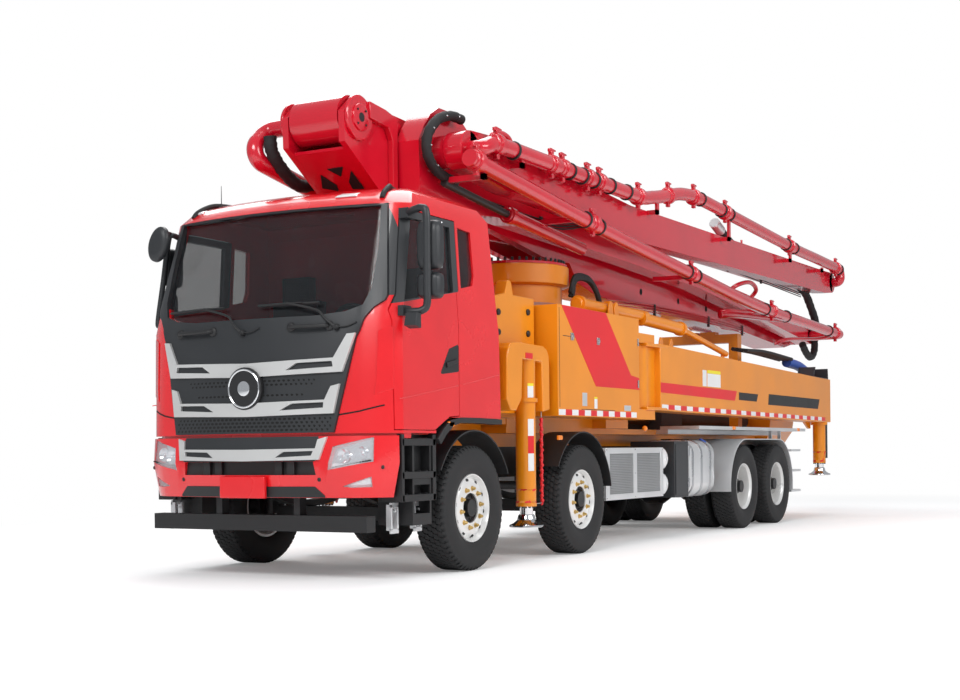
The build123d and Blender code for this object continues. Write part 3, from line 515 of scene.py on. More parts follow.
DOOR_WINDOW = ((-1.1, 2.2), (-0.34, 2.325), (-0.33, 2.35), (-0.33, 2.865), (-0.935, 2.865))
REAR_WINDOW = ((-0.2, 2.37), (0.0, 2.41), (0.035, 2.5), (0.02, 2.865), (-0.2, 2.88))
TRIMS = (  # left half from the top middle round to the base middle, then its slot
    (((0, 1.726), (0.785, 1.75), (0.891, 1.933), (0.958, 1.938), (0.859, 1.638), (0, 1.614)),
     ((0.469, 1.716), (0.775, 1.724), (0.785, 1.68), (0.379, 1.662))),
    (((0, 1.408), (0.721, 1.424), (0.77, 1.528), (0.84, 1.545), (0.796, 1.316), (0, 1.3)),
     ((0.438, 1.398), (0.714, 1.404), (0.713, 1.362), (0.331, 1.346))), )
BUMPER_TRIM = (((0, 1.04), (0.655, 1.046), (0.668, 1.116), (0.742, 1.135), (0.695, 0.957),
                (0, 0.948)), ((0.38, 1.02), (0.64, 1.026), (0.628, 0.99), (0.31, 0.976)))
LAMP = ((0.787, 1.058), (0.753, 0.875), (1.101, 0.939), (1.094, 1.13))
FOG_LAMP = ((0.863, 0.748), (0.944, 0.738), (1.076, 0.742), (1.077, 0.824))


def arc(a, b, c, count):
    """Points from a to c on the circle through a, b and c, without c."""
    ax, ay, bx, by, cx, cy = *a, *b, *c
    d = 2 * (ax * (by - cy) + bx * (cy - ay) + cx * (ay - by))
    ux = ((ax * ax + ay * ay) * (by - cy) + (bx * bx + by * by) * (cy - ay)
          + (cx * cx + cy * cy) * (ay - by)) / d
    uy = ((ax * ax + ay * ay) * (cx - bx) + (bx * bx + by * by) * (ax - cx)
          + (cx * cx + cy * cy) * (bx - ax)) / d
    r = math.hypot(ax - ux, ay - uy)
    t0, t1 = math.atan2(ay - uy, ax - ux), math.atan2(cy - uy, cx - ux)
    turn = (t1 - t0 + math.pi) % (2 * math.pi) - math.pi
    return [(ux + r * math.cos(t0 + turn * i / count), uy + r * math.sin(t0 + turn * i / count))
            for i in range(count)]


def outward(a, b):
    """A point a little outside the middle of the chord from a to b."""
    dx, dy = b[0] - a[0], b[1] - a[1]
    return ((a[0] + b[0]) / 2 + 0.1 * dy, (a[1] + b[1]) / 2 - 0.1 * dx)


def plan(section, grow):
    """Outline of a body at one height, grown all round."""
    z, half, side_y, corner_x, corner_y, centre_y, rear_y = section
    h, c = half + grow, corner_x + grow * 0.6
    s, k, m, r = side_y - grow * 0.6, corner_y - grow, centre_y - grow, rear_y + grow
    line = [(h, r), (-h, r)]
    line += arc((-h, s), outward((-h, s), (-c, k)), (-c, k), 10)
    line += arc((-c, k), (0, m), (c, k), 24)
    line += arc((c, k), outward((c, k), (h, s)), (h, s), 10) + [(h, s)]
    return line


def loft_form(sections, grow, low=0.0, high=0.0):
    """A body through its sections, grown, with its ends moved by low and high."""
    rings = []
    for i, section in enumerate(sections):
        z = section[0] + (low if i == 0 else 0) + (high if i == len(sections) - 1 else 0)
        rings.append([at(x, y, z) for x, y in plan(section, grow)])
    return Form().loft(rings)


def flipped(outline):
    """The same outline on the right."""
    return [(-x, z) for x, z in outline]


def both_sides(half):
    """A left half and its mirror image, in one outline."""
    return list(half) + flipped(half)[::-1]


def mirrored(half):
    """An outline whose first and last points lie on the middle plane."""
    return list(half) + flipped(half[1:-1])[::-1]


def front_form(outlines, y1):
    """Cutting blocks seen from the front, back to y1."""
    form = Form()
    for outline in outlines:
        form.prism(outline, "y", BEFORE_CAB, y1)
    return form


def side_form(outline, x0, x1=SKIN_X + 0.05, sides=(1, -1)):
    """Cutting blocks seen from the side, out to x1."""
    form = Form()
    for side in sides:
        form.prism(outline, "x", side * x0, side * x1)
    return form


def carve(form, steps):
    """Booleans on a form's mesh: a list of (operation, form)."""
    def loose(f):
        bmesh.ops.recalc_face_normals(f.bm, faces=f.bm.faces)
        mesh = bpy.data.meshes.new("carve")
        f.bm.to_mesh(mesh)
        f.bm.free()
        obj = bpy.data.objects.new("carve", mesh)
        scene.collection.objects.link(obj)
        return obj
    base = loose(form)
    tools = []
    for operation, tool in steps:
        obj = loose(tool)
        tools.append(obj)
        mod = base.modifiers.new("carve", "BOOLEAN")
        mod.operation = operation
        mod.solver = "EXACT"
        mod.object = obj
    bpy.context.view_layer.update()
    graph = bpy.context.evaluated_depsgraph_get()
    result = Form()
    mesh = bpy.data.meshes.new_from_object(base.evaluated_get(graph))
    result.bm.from_mesh(mesh)
    for obj in (base, *tools):
        bpy.data.objects.remove(obj)
    return result


def skin(sections, outer, inner, steps):
    """The layer between two grown copies of a body, then cut."""
    return carve(loft_form(sections, outer),
                 [("DIFFERENCE", loft_form(sections, inner, -0.002, 0.002)), *steps])


def screen_cut():
    """Cutting block of the windscreen opening."""
    return front_form([both_sides(SCREEN_HALF)], -0.85)


shell = carve(loft_form(CAB, 0), [
    ("DIFFERENCE", loft_form(CAB, -0.05, 0.2, -0.05)),
    ("DIFFERENCE", Form().box(-0.42, 0.42, -1.2, 0.6, 1.1, 1.265)),
    ("DIFFERENCE", Form().box(0.6, 1.3, -0.655, 0.6, 1.1, 1.29).box(-1.3, -0.6, -0.655, 0.6,
                                                                    1.1, 1.29)),
    ("DIFFERENCE", side_form(DOOR, 0.98)), ("DIFFERENCE", side_form(REAR_WINDOW, 1.0)),
    ("DIFFERENCE", screen_cut()), ])
cab_body = shell.done("cab_body", "cab_paint", "root", 28)
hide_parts("cab_shell", "cab_back", "cab_roof")

mask = skin(CAB[:3], 0.022, 0.0004, [
    ("INTERSECT", front_form([both_sides(MASK_HALF)], -0.85)), ("DIFFERENCE", screen_cut()),
    ("DIFFERENCE", side_form(DOOR, 0.98))])
mask = mask.done("front_mask", "anthracite", "root", 28)
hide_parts("grille_panel")

screen = skin(CAB[:3], -0.018, -0.026, [("INTERSECT", screen_cut())])
screen = screen.done("windscreen", "glass", "root", 28)
rear_glass = skin(CAB[:3], -0.018, -0.026, [("INTERSECT", side_form(REAR_WINDOW, 1.0))])
rear_glass.done("rear_side_glass", "glass", "root", 28)
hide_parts("cab_glass")

slots = [slot for _, slot in TRIMS]
trims = skin(CAB[:3], 0.044, 0.0225, [
    ("INTERSECT", front_form([mirrored(outline) for outline, _ in TRIMS], -0.9)),
    ("DIFFERENCE", front_form([o for slot in slots for o in (slot, flipped(slot))], -0.9))])
trims = trims.done("grille_trim_upper", "trim", "root", 28, 0.004)
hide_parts("grille_trims")
outline, slot = BUMPER_TRIM
trims = skin(BUMPER, 0.02, 0.0004, [
    ("INTERSECT", front_form([mirrored(outline)], -1.2)),
    ("DIFFERENCE", front_form([slot, flipped(slot)], -1.2))])
trims.done("grille_trim_lower", "trim", "root", 28, 0.003)

lamp_holes = [[(s * x, z) for x, z in o] for s in (1, -1) for o in (LAMP, FOG_LAMP)]
bumper = carve(loft_form(BUMPER, 0), [
    ("DIFFERENCE", loft_form(BUMPER, -0.06, -0.002, -0.015)),
    ("DIFFERENCE", Form().box(-1.3, 1.3, -1.19, -0.8, 0.6, 1.2)),
    ("DIFFERENCE", front_form([both_sides(((0.64, 0.943), (0.655, 0.838)))], -1.0)),
    ("DIFFERENCE", front_form(lamp_holes, -1.18)), ])
bumper = bumper.done("bumper_shell", "red_paint", "root", 28)
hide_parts("bumper")
centre = skin(BUMPER, 0.005, 0.0004, [("INTERSECT", front_form([both_sides(
    ((0.66, 1.139), (0.672, 1.11), (0.66, 0.95), (0.64, 0.944)))], -1.2))])
centre.done("bumper_centre", "anthracite", "root", 28)
gap = loft_form([(z, 1.225, -1.1, 0.91, -1.35, -1.46, -1.0) for z in (1.12, 1.175)], 0.0)
gap.done("bumper_gap", "red_paint", "root", 28)
chin = skin(BUMPER[:2], 0.006, 0.0004, [("INTERSECT", front_form([both_sides(
    ((0.64, 0.748), (0.718, 0.676), (0.718, 0.663)))], -1.2))])
chin.done("bumper_chin", "black_plastic", "root", 28, 0.003)
back = Form().box(-0.66, 0.66, -1.47, -1.455, 0.8, 0.96)
for x in (-0.42, -0.3, 0.3, 0.42):
    back.box(x - 0.035, x + 0.035, -1.5, -1.47, 0.83, 0.945)
back.done("bumper_opening_back", "black_plastic", bevel=0.004)
plate = Form().box(-0.223, 0.223, -1.58, -1.545, 0.655, 0.827)
plate.done("number_plate_panel", "red_paint", bevel=0.006)
lens = skin(BUMPER, -0.003, -0.01, [("INTERSECT", front_form(lamp_holes, -1.18))])
lens = lens.done("lamp_lenses", "lens", "root", 28)
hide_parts("headlamps")
reflector = skin(BUMPER, -0.05, -0.058, [("INTERSECT", front_form(lamp_holes, -1.18))])
reflector.done("lamp_reflectors", "chrome", "root", 28)
inside, ledge = Form(), Form()
for side in (1, -1):
    for x, z, r, y in ((0.865, 0.985, 0.058, -1.4), (1.0, 1.005, 0.058, -1.335)):
        inside.lathe(((0, 0.012), (0.018, r * 0.75), (0.034, r), (0.034, r * 0.92),
                      (0.018, r * 0.62), (0.006, 0.01)), at(side * x, y + 0.02, z),
                     (0, -1, 0), 28)
        inside.ball(at(side * x, y - 0.004, z), 0.018)
    for i in range(14):
        t = i / 13
        x, z = 0.775 + 0.305 * t, 0.892 + 0.052 * t
        y = -1.428 + 0.3 * max(0.0, x - 0.93)
        ledge.slab(side, x - 0.008, x + 0.008, y, y + 0.02, z, z + 0.01)
inside.done("lamp_bowls", "chrome")
ledge.done("lamp_led_row", "black_plastic")

for name, side in SIDES:
    body = f"door_{name}"
    edge = [(y + math.copysign(DOOR_GAP, -0.7 - y), z + math.copysign(DOOR_GAP, 2 - z))
            for y, z in DOOR]
    door = skin(CAB, 0.0, -0.05, [
        ("INTERSECT", side_form(edge, 0.98, sides=(side,))),
        ("DIFFERENCE", side_form(DOOR_WINDOW, 0.9, 1.35, (side,)))])
    door = door.done(f"door_panel_{name}", "door_paint", body, 28)
    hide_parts(f"door_{name}")
    pane = skin(CAB[:3], -0.02, -0.028, [
        ("INTERSECT", side_form(DOOR_WINDOW, 0.9, sides=(side,)))])
    pane = pane.done(f"door_pane_{name}", "glass", body, 28)
    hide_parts(f"door_glass_{name}")


# ---- fittings on the cab ---------------------------------------------------
def skin_y(x, z, sections=CAB):
    """y of the front skin at x and z."""
    low = max((s for s in sections if s[0] <= z), key=lambda s: s[0], default=sections[0])
    high = min((s for s in sections if s[0] > z), key=lambda s: s[0], default=sections[-1])
    t = 0.0 if high[0] == low[0] else (z - low[0]) / (high[0] - low[0])
    line = plan([a + (b - a) * t for a, b in zip(low, high)], 0.0)
    return min(y0 + (x - x0) * (y1 - y0) / (x1 - x0)
               for (x0, y0), (x1, y1) in zip(line, line[1:])
               if min(x0, x1) <= x <= max(x0, x1) and x0 != x1)


def on_front(x, z, lift, sections=CAB):
    """Point standing lift before the front skin."""
    return at(x, skin_y(x, z, sections) - lift, z)


wipers = Form()
for pivot, bend, mid, ends in (
        ((0.799, 1.989), (0.62, 2.13), (0.345, 2.198), ((0.06, 2.19), (0.62, 2.196))),
        ((-0.05, 1.974), (-0.22, 2.12), (-0.507, 2.197), ((-0.95, 2.192), (-0.3, 2.196)))):
    wipers.lathe(((0, 0.026), (0.03, 0.024), (0.045, 0.016), (0.045, 0)),
                 on_front(*pivot, 0.02), (0, -1, 0), 20)
    halfway = [(a + b) / 2 for a, b in zip(pivot, bend)]
    wipers.tube([on_front(*pivot, 0.055), on_front(*halfway, 0.06), on_front(*bend, 0.05),
                 on_front(*mid, 0.045)], 0.01, 10)
    steps = [ends[0][0] + (ends[1][0] - ends[0][0]) * i / 8 for i in range(9)]
    wipers.tube([on_front(x, ends[0][1], 0.022) for x in steps], 0.011, 8)
    wipers.tube([on_front(x, ends[0][1] + 0.004, 0.034) for x in steps[2:7]], 0.008, 8)
    wipers.tube([on_front(*pivot, 0.04), on_front(pivot[0] + 0.09, pivot[1] + 0.005, 0.035),
                 on_front(pivot[0] + 0.16, pivot[1] + 0.035, 0.03)], 0.005, 8)
wipers.done("wipers", "black_plastic", "root", 50)

grips = Form()
for x0, x1 in ((0.403, 0.737), (-0.763, -0.374)):
    grips.tube([on_front(x0 + (x1 - x0) * t, 2.0, lift) for t, lift in (
        (0.0, 0.022), (0.03, 0.05), (0.12, 0.066), (0.5, 0.07), (0.88, 0.066), (0.97, 0.05),
        (1.0, 0.022))], 0.016, 12)
    for x in (x0, x1):
        grips.lathe(((0.0, 0.04), (0.012, 0.038), (0.02, 0.03), (0.02, 0.0)),
                    on_front(x, 2.0, 0.02), (0, -1, 0), 20)
grips.done("front_grips", "black_plastic", "root", 50)

GRID_Z = 1.18  # where the lower mesh begins


def hole(form, x, z, half, height, corners, turn, lift):
    """A dark block of painted shade in a hole of the mesh, standing lift before the skin."""
    y = skin_y(x, z)
    form.prism([(x + half * math.cos(t), z + height * math.sin(t))
                for t in turned(corners, turn)], "y", y - lift, y - 0.01)


# dark blocks seen through the slots of the upper trims: painted shade in the openings
slots = Form()
for x0, x1, z, rows in ((0.15, 0.64, 1.567, 2), (0.16, 0.56, 1.468, 1)):
    for row in range(rows):
        row_z = z + (row - (rows - 1) / 2) * 0.03
        for i in range(int((x1 - x0) / 0.044)):
            x = x0 + (i + 0.5 * (row % 2)) * 0.044
            for s in (1, -1):
                hole(slots, s * x, row_z, 0.015, 0.009, 8, 0.39, 0.0235)
slots.done("mesh_hole_shade_upper", "hole", "root", 0)
# dark hexagons on the lower mesh: painted shade in its holes
grid_hole_shade = Form()
for row in range(4):
    row_z = GRID_Z + 0.012 + row * 0.029
    for i in range(35):
        x = -0.745 + i * 0.0435 + (0.02175 if row % 2 else 0.0)
        if abs(x) <= 0.755 + (row_z - GRID_Z) * 0.25:
            hole(grid_hole_shade, x, row_z, 0.0165, 0.0105, 6, 0.0, 0.024)
grid_hole_shade.done("mesh_hole_shade_lower", "hole", "root", 0)

BADGE = at(0, -1.5, 1.526)
badge = Form().lathe(((0, 0.17), (0.034, 0.17), (0.042, 0.162), (0.042, 0)), BADGE, (0, -1, 0), 64)
badge.done("badge_disc", "black_plastic")
ring = Form()
ring.lathe(((0.038, 0.158), (0.046, 0.157), (0.05, 0.15), (0.046, 0.143), (0.038, 0.142)),
           BADGE, (0, -1, 0), 64, closed=True)
ring.lathe(((0.04, 0.06), (0.046, 0.059), (0.048, 0.052), (0.048, 0)), BADGE, (0, -1, 0), 48)
ring.done("badge_ring", "chrome", "root", 40)

dots = Form()
for x, z in both_sides(((0.678, 0.803), (1.15, 0.896))):
    dots.ball(on_front(x, z, 0.0, BUMPER), 0.016, (1, 0.6, 1))
dots.done("parking_sensors", "black_plastic", "root", 60)

lamps = Form()
for x0, x1 in ((0.54, 0.735), (-1.0, -0.87)):
    rings = []
    for lift, inset in ((-0.01, 0.0), (0.012, 0.004), (0.02, 0.018)):
        rings.append([on_front(x, z, lift) for x, z in (
            (x0 + inset, 3.066 + inset), (x1 - inset, 3.066 + inset),
            (x1 - inset - 0.012, 3.112 - inset), (x0 + inset + 0.025, 3.112 - inset))])
    lamps.loft(rings)
lamps.done("roof_lamps", "white_paint", "root", 30, 0.004)
strips = Form()
for s in (1, -1):
    strips.tube([(s * 0.965, -0.985, 3.035), (s * 0.955, -0.945, 3.085),
                 (s * 0.935, -0.86, 3.135), (s * 0.905, -0.78, 3.165), (s * 0.86, -0.7, 3.17),
                 (s * 0.82, -0.56, 3.168)], 0.022, 12)
strips.done("roof_strips", "rubber", "root", 60)
aerial = Form().lathe(((0.0, 0.018), (0.03, 0.012), (0.045, 0.004), (0.2, 0.0022), (0.2, 0.0)),
                      at(-0.81, -0.8, 3.13), UP, 12)
aerial.done("aerial", "black_plastic", "root", 60)

# seams, corner panels, handles, creases, arch flares and step brackets
visor = Form().tube([on_front(-1.05 + 2.1 * i / 16, 2.982, 0.0006) for i in range(17)], 0.005, 6)
visor.done("visor_seam", "black_plastic", "root", 60)
CORNER = ((1.105, 1.955), (1.165, 1.99), (1.205, 1.985), (1.205, 1.5), (1.085, 1.455),
          (1.098, 1.56))
ARCH = ((-0.64, 1.115), (-0.55, 1.195), (-0.43, 1.268), (-0.25, 1.292), (0.1, 1.292),
        (0.45, 1.285))
for name, side in SIDES:
    mid_x, mid_z = (sum(p[i] for p in CORNER) / len(CORNER) for i in (0, 1))
    corner = Form().loft([[on_front(side * (x + (mid_x - x) * inset * 4), z + (mid_z - z) * inset,
                                    lift) for x, z in CORNER]
                          for lift, inset in ((-0.004, 0.0), (0.007, 0.006), (0.008, 0.016))])
    corner.done(f"corner_panel_{name}", "red_paint", "root", 20)
    if side < 0:
        vents = Form()
        for i in range(7):
            z = 1.47 + i * 0.072
            vents.slab(side, 1.2485, 1.2515, -1.142, -1.128, z, z + 0.056)
        vents.done(f"corner_vents_{name}", "black_plastic", "root", 0)
    recess = Form().plate(((-0.44, 1.852), (-0.3, 1.895), (-0.285, 1.88), (-0.285, 1.68),
                           (-0.3, 1.668), (-0.56, 1.64), (-0.575, 1.655)), side, 1.2485, 1.2525)
    recess.done(f"handle_recess_{name}", "black_plastic", f"door_{name}", 30, 0.002)
    handle = Form().plate(((-0.5, 1.735), (-0.32, 1.775), (-0.31, 1.745), (-0.49, 1.695)),
                          side, 1.2525, 1.27)
    handle.done(f"door_handle_{name}", "black_plastic", f"door_{name}", 30, 0.006)
    for where, body, line in (
            ("door", f"door_{name}", ((-1.205, 1.425), (-0.75, 1.49), (-0.29, 1.56))),
            ("cab", "root", ((-0.23, 1.568), (0.1, 1.622), (0.42, 1.675)))):
        crease = Form().tube(upright(side * 1.2503, *line), 0.004, 6)
        crease.done(f"{where}_crease_{name}", "red_paint", body, 60)
    flare = Form().plate(ARCH + tuple((y + 0.045 if y < -0.3 else y, z - 0.045)
                                      for y, z in ARCH[::-1]), side, 1.16, 1.262)
    flare.done(f"arch_flare_{name}", "black_plastic", "root", 30, 0.006)
    brackets = Form()
    for y in (-1.08, -0.73):
        for dy in (-0.055, 0.035):
            brackets.slab(side, 1.07, 1.12, y + dy, y + dy + 0.02, 0.395, 0.6)
        for z in (0.575, 0.37):
            brackets.slab(side, 1.1, 1.12, y - 0.055, y + 0.055, z, z + 0.04)
        brackets.lathe(((0, 0.012), (0.03, 0.012)), at(side * 1.1, y, 0.55), (side, 0, 0), 12)
    brackets.done(f"step_brackets_{name}", "aluminium", "root", 30, 0.003)


# ---- mirrors ---------------------------------------------------------------
left = Form()
left.tube([(1.15, -0.93, 2.898), (1.23, -1.0, 2.9), (1.32, -1.06, 2.905), (1.395, -1.085, 2.905),
           (1.437, -1.09, 2.86), (1.44, -1.09, 2.6), (1.44, -1.09, 2.3), (1.437, -1.092, 2.15),
           (1.395, -1.11, 2.105), (1.32, -1.13, 2.1), (1.235, -1.12, 2.11)], 0.03, 14)
left.box(1.14, 1.225, -1.02, -0.9, 2.855, 2.935)
left.box(1.225, 1.275, -1.18, -1.06, 2.07, 2.15)
left = left.done("mirror_frame_left", "anthracite", "door_left", 40, 0.006)
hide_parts("mirror_left")


def mirror_head(form, centre, wide, along, half, height, depth):
    """A rounded mirror housing: wide is its width, along the way it faces."""
    corners = [[math.copysign(abs(f(t)) ** 0.4, f(t)) for f in (math.cos, math.sin)]
               for t in turned(32)]
    form.loft([[centre + along * depth * (share - 0.5) + wide * half * grow * c
                + Vector((0, 0, height * grow * s)) for c, s in corners]
               for share, grow in ((0.0, 0.6), (0.08, 0.8), (0.28, 0.94), (0.65, 1.0), (0.96, 1.0),
                                   (1.0, 0.97))])


heads, glass = Form(), Form()
for z0, z1 in ((2.43, 2.82), (2.205, 2.41)):
    place = at(1.415, -1.01, (z0 + z1) / 2)
    mirror_head(heads, place, Vector((1, 0.1, 0)).normalized(), Vector((-0.1, 1, 0)).normalized(),
                0.1025, (z1 - z0) / 2, 0.105)
    glass.box(1.33, 1.5, -0.9585, -0.954, z0 + 0.015, z1 - 0.015)
heads.prism(((-1.235, 1.985), (-1.15, 1.965), (-1.15, 2.08), (-1.21, 2.085)), "x", 1.315, 1.42)
heads.done("mirror_heads_left", "anthracite", "door_left", 40, 0.005)
glass.done("mirror_glass_left", "chrome", "door_left", 30, 0.002)
right = Form()
right.tube([(-1.14, -0.96, 2.88), (-1.165, -1.04, 2.9), (-1.195, -1.05, 2.84),
            (-1.25, -1.05, 2.52), (-1.315, -1.05, 2.17), (-1.29, -1.06, 2.12),
            (-1.235, -1.08, 2.12)], 0.024, 12)
for z0, z1 in ((2.46, 2.8), (2.21, 2.42)):
    zm = (z0 + z1) / 2
    x = -1.18 - (2.9 - zm) * 0.19
    mirror_head(right, at(x, -0.93, zm), Vector((0, 1, 0)), Vector((-1, 0, 0)), 0.105,
                (z1 - z0) / 2, 0.055)
right = right.done("mirror_frame_right", "anthracite", "door_right", 40)
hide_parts("mirror_right")

oval = Form()
oval.loft([[at(-1.125 + 0.105 * grow * math.cos(t) + 0.03 * grow * math.sin(t), y,
               2.795 + 0.15 * grow * math.sin(t)) for t in turned(32)]
           for y, grow in ((-1.29, 0.55), (-1.285, 0.8), (-1.265, 0.97), (-1.235, 1.0),
                           (-1.225, 0.96))])
oval.tube([(-1.125, -1.23, 2.84), (-1.14, -1.16, 2.9), (-1.165, -1.06, 2.915),
           (-1.19, -0.98, 2.9)], 0.014, 10)
oval.done("front_mirror", "anthracite", "root", 40)


# ---- steps under the cab, and the seam above the bumper ---------------------
for name, side in SIDES:
    step = Form()
    step.slab(side, 1.0, 1.14, -1.14, -0.66, 0.62, 1.15)
    for z in (0.62, 0.8, 1.06):
        step.plate(((-1.15, z), (-0.65, z), (-0.64, z + 0.055), (-1.155, z + 0.055)),
                   side, 1.05, 1.238)
        for y in (-1.08, -0.98, -0.88, -0.78):
            step.slab(side, 1.13, 1.225, y, y + 0.03, z + 0.055, z + 0.063)
    for y0, y1 in ((-1.155, -1.12), (-0.69, -0.64)):
        step.slab(side, 1.05, 1.238, y0, y1, 0.62, 1.15)
    step.done(f"side_steps_{name}", "black_plastic", "root", 30, 0.008)

# the seam above the bumper is a near-black line: painted shade in the gap
seam = Form()
line = ((0.0, 1.297), (0.4, 1.297), (0.787, 1.3), (0.98, 1.33), (1.15, 1.376))
for (xa, za), (xb, zb) in zip(line, line[1:]):
    run = [(xa + (xb - xa) * k / 8, za + (zb - za) * k / 8) for k in range(9)]
    for side in (1, -1):
        for (x0, z0), (x1, z1) in zip(run, run[1:]):
            seam.rod(on_front(side * x0, z0, 0.0), on_front(side * x1, z1, 0.0), 0.006, 8)
seam.done("bumper_seam_shade", "hole")


# ---- outriggers ------------------------------------------------------------
HEAD_PLATE = ((0.62, 1.4), (0.62, 2.29), (0.68, 2.4), (0.9, 2.44), (0.945, 2.55),
              (0.985, 2.572), (1.025, 2.55), (1.06, 2.44), (1.48, 2.44), (1.48, 1.35),
              (0.68, 1.35))
HORSESHOE = ((0.62, 1.47), (0.632, 1.86), (0.66, 1.93), (0.72, 1.975), (0.85, 1.99),
             (1.34, 1.98), (1.42, 1.95), (1.46, 1.89), (1.47, 1.8), (1.47, 1.39),
             (1.33, 1.37), (1.315, 1.83), (0.93, 1.84), (0.905, 1.48), (0.8, 1.37), (0.7, 1.37))
LEG_X, FRONT_LEG_Y, REAR_LEG_Y, SWING_PIN_Y = 1.13, 1.145, 10.65, 3.85
LEG_R = 0.092
FOOT = ((0, 0), (0, 0.152), (0.008, 0.16), (0.02, 0.158), (0.036, 0.12), (0.065, 0.085),
        (0.1, 0.078), (0.115, 0.07), (0.115, 0))


def band(name, centre, radius, z0, z1, count, lean, pair, body, t0=0.0, t1=2 * math.pi):
    """A slanted two-colour band round an upright leg."""
    width = (t1 - t0) / count
    for k, material in enumerate(pair):
        form = Form()
        for i in range(k, count, 2):
            low = [(t0 + width * (i + s / 6), z0) for s in range(7)]
            high = [(t + lean, z1) for t, _ in low[::-1]]
            form.loft([[centre + Vector((r * math.cos(t), r * math.sin(t), z))
                        for t, z in low + high] for r in (radius - 0.002, radius + 0.0015)])
        form.done(f"{name}_{k}", material, body, 60)


def leg_ram(name, leg, foot, low, top, jack):
    """The chrome ram of a leg from low to top, with its round foot."""
    ram = Form().lathe(((low, 0.058), (low + 0.02, 0.062), (top, 0.062)), leg, UP, 32)
    ram.lathe([(foot + height, radius) for height, radius in FOOT], leg, UP, 48)
    ram = ram.done(name, "chrome", jack)
    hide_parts(jack)


for name, side in SIDES:
    body, jack = f"front_outrigger_{name}", f"front_jack_{name}"
    leg = at(side * LEG_X, FRONT_LEG_Y, 0)
    y0, y1 = (0.76, 0.94) if side > 0 else (0.96, 1.14)
    head = Form()
    head.slab(side, -0.75, 0.96, y0, y1, 1.6, 1.88)
    head.plate(HEAD_PLATE, side, 0.94, 1.06)
    head.plate(HORSESHOE, side, 1.06, 1.22)
    head = head.done(f"front_head_{name}", "orange_paint", body, 30, 0.01)
    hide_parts(body)
    tube = Form()
    for profile in (
            ((0.52, 0.08), (0.52, LEG_R), (1.862, LEG_R), (1.866, 0.088), (1.866, 0)),
            ((1.455, LEG_R), (1.455, 0.112), (1.49, 0.112), (1.49, LEG_R)),
            ((0.5, 0.07), (0.5, 0.097), (0.53, 0.097), (0.53, 0.09))):
        tube.lathe(profile, leg, UP, 40)
    tube.done(f"front_leg_{name}", "orange_paint", body)
    caps = Form()
    for y, z in ((0.76, 2.26), (1.34, 2.3), (0.76, 2.08), (1.34, 2.1)):
        caps.lathe(((0, 0.03), (0.012, 0.03), (0.018, 0.024), (0.018, 0)),
                   at(side * 1.06, y, z), (side, 0, 0), 20)
    caps.bolts(leg + Vector((0, 0, 0.485)), UP, 0.082, 14, 0.008, 0.014)
    caps.done(f"front_leg_bolts_{name}", "black_frame", body)
    leg_ram(f"front_ram_{name}", leg, 0.31, 0.34, 1.8, jack)
    band(f"front_leg_hazard_{name}", leg, 0.0935, 0.535, 0.66, 10, 0.9,
         ("red_tape", "orange_paint"), body)
    face = -0.52 if side > 0 else math.pi + 0.52
    for z0, z1, tape_name in ((1.145, 1.3, "white_tape"), (0.985, 1.145, "red_tape"),
                              (0.825, 0.985, "white_tape"), (1.495, 1.6, "white_tape"),
                              (1.6, 1.625, "yellow_tape")):
        band(f"front_leg_mark_{name}_{int(z0 * 1000)}", leg, 0.093, z0, z1, 1, 0.0,
             (tape_name,), body, face - 0.34, face + 0.34)
    tag = Form().slab(side, 1.1, 1.2235, 0.98, 1.12, 1.848, 1.9)
    tag.done(f"front_head_tag_{name}", "red_tape", body)
    rope_x = side * 1.16
    rope = Form()
    for k in range(34):
        z = 1.3 - 0.78 * k / 33
        rope.ball(at(rope_x + 0.004 * math.sin(k * 2.2), 1.405, z), 0.019,
                  (0.75, 0.75, 1.15) if k % 2 else (1, 1, 1))
    rope.done(f"front_safety_rope_{name}", "red_tape", body, 60)
    hook = Form()
    hook.tube(upright(rope_x, (1.405, 1.31), (1.405, 1.37), (1.42, 1.41), (1.44, 1.39)), 0.006, 8)
    hook.tube(upright(rope_x, (1.405, 0.525), (1.34, 0.52), (1.235, 0.52)), 0.006, 8)
    hook.done(f"front_rope_hook_{name}", "steel", body, 60)

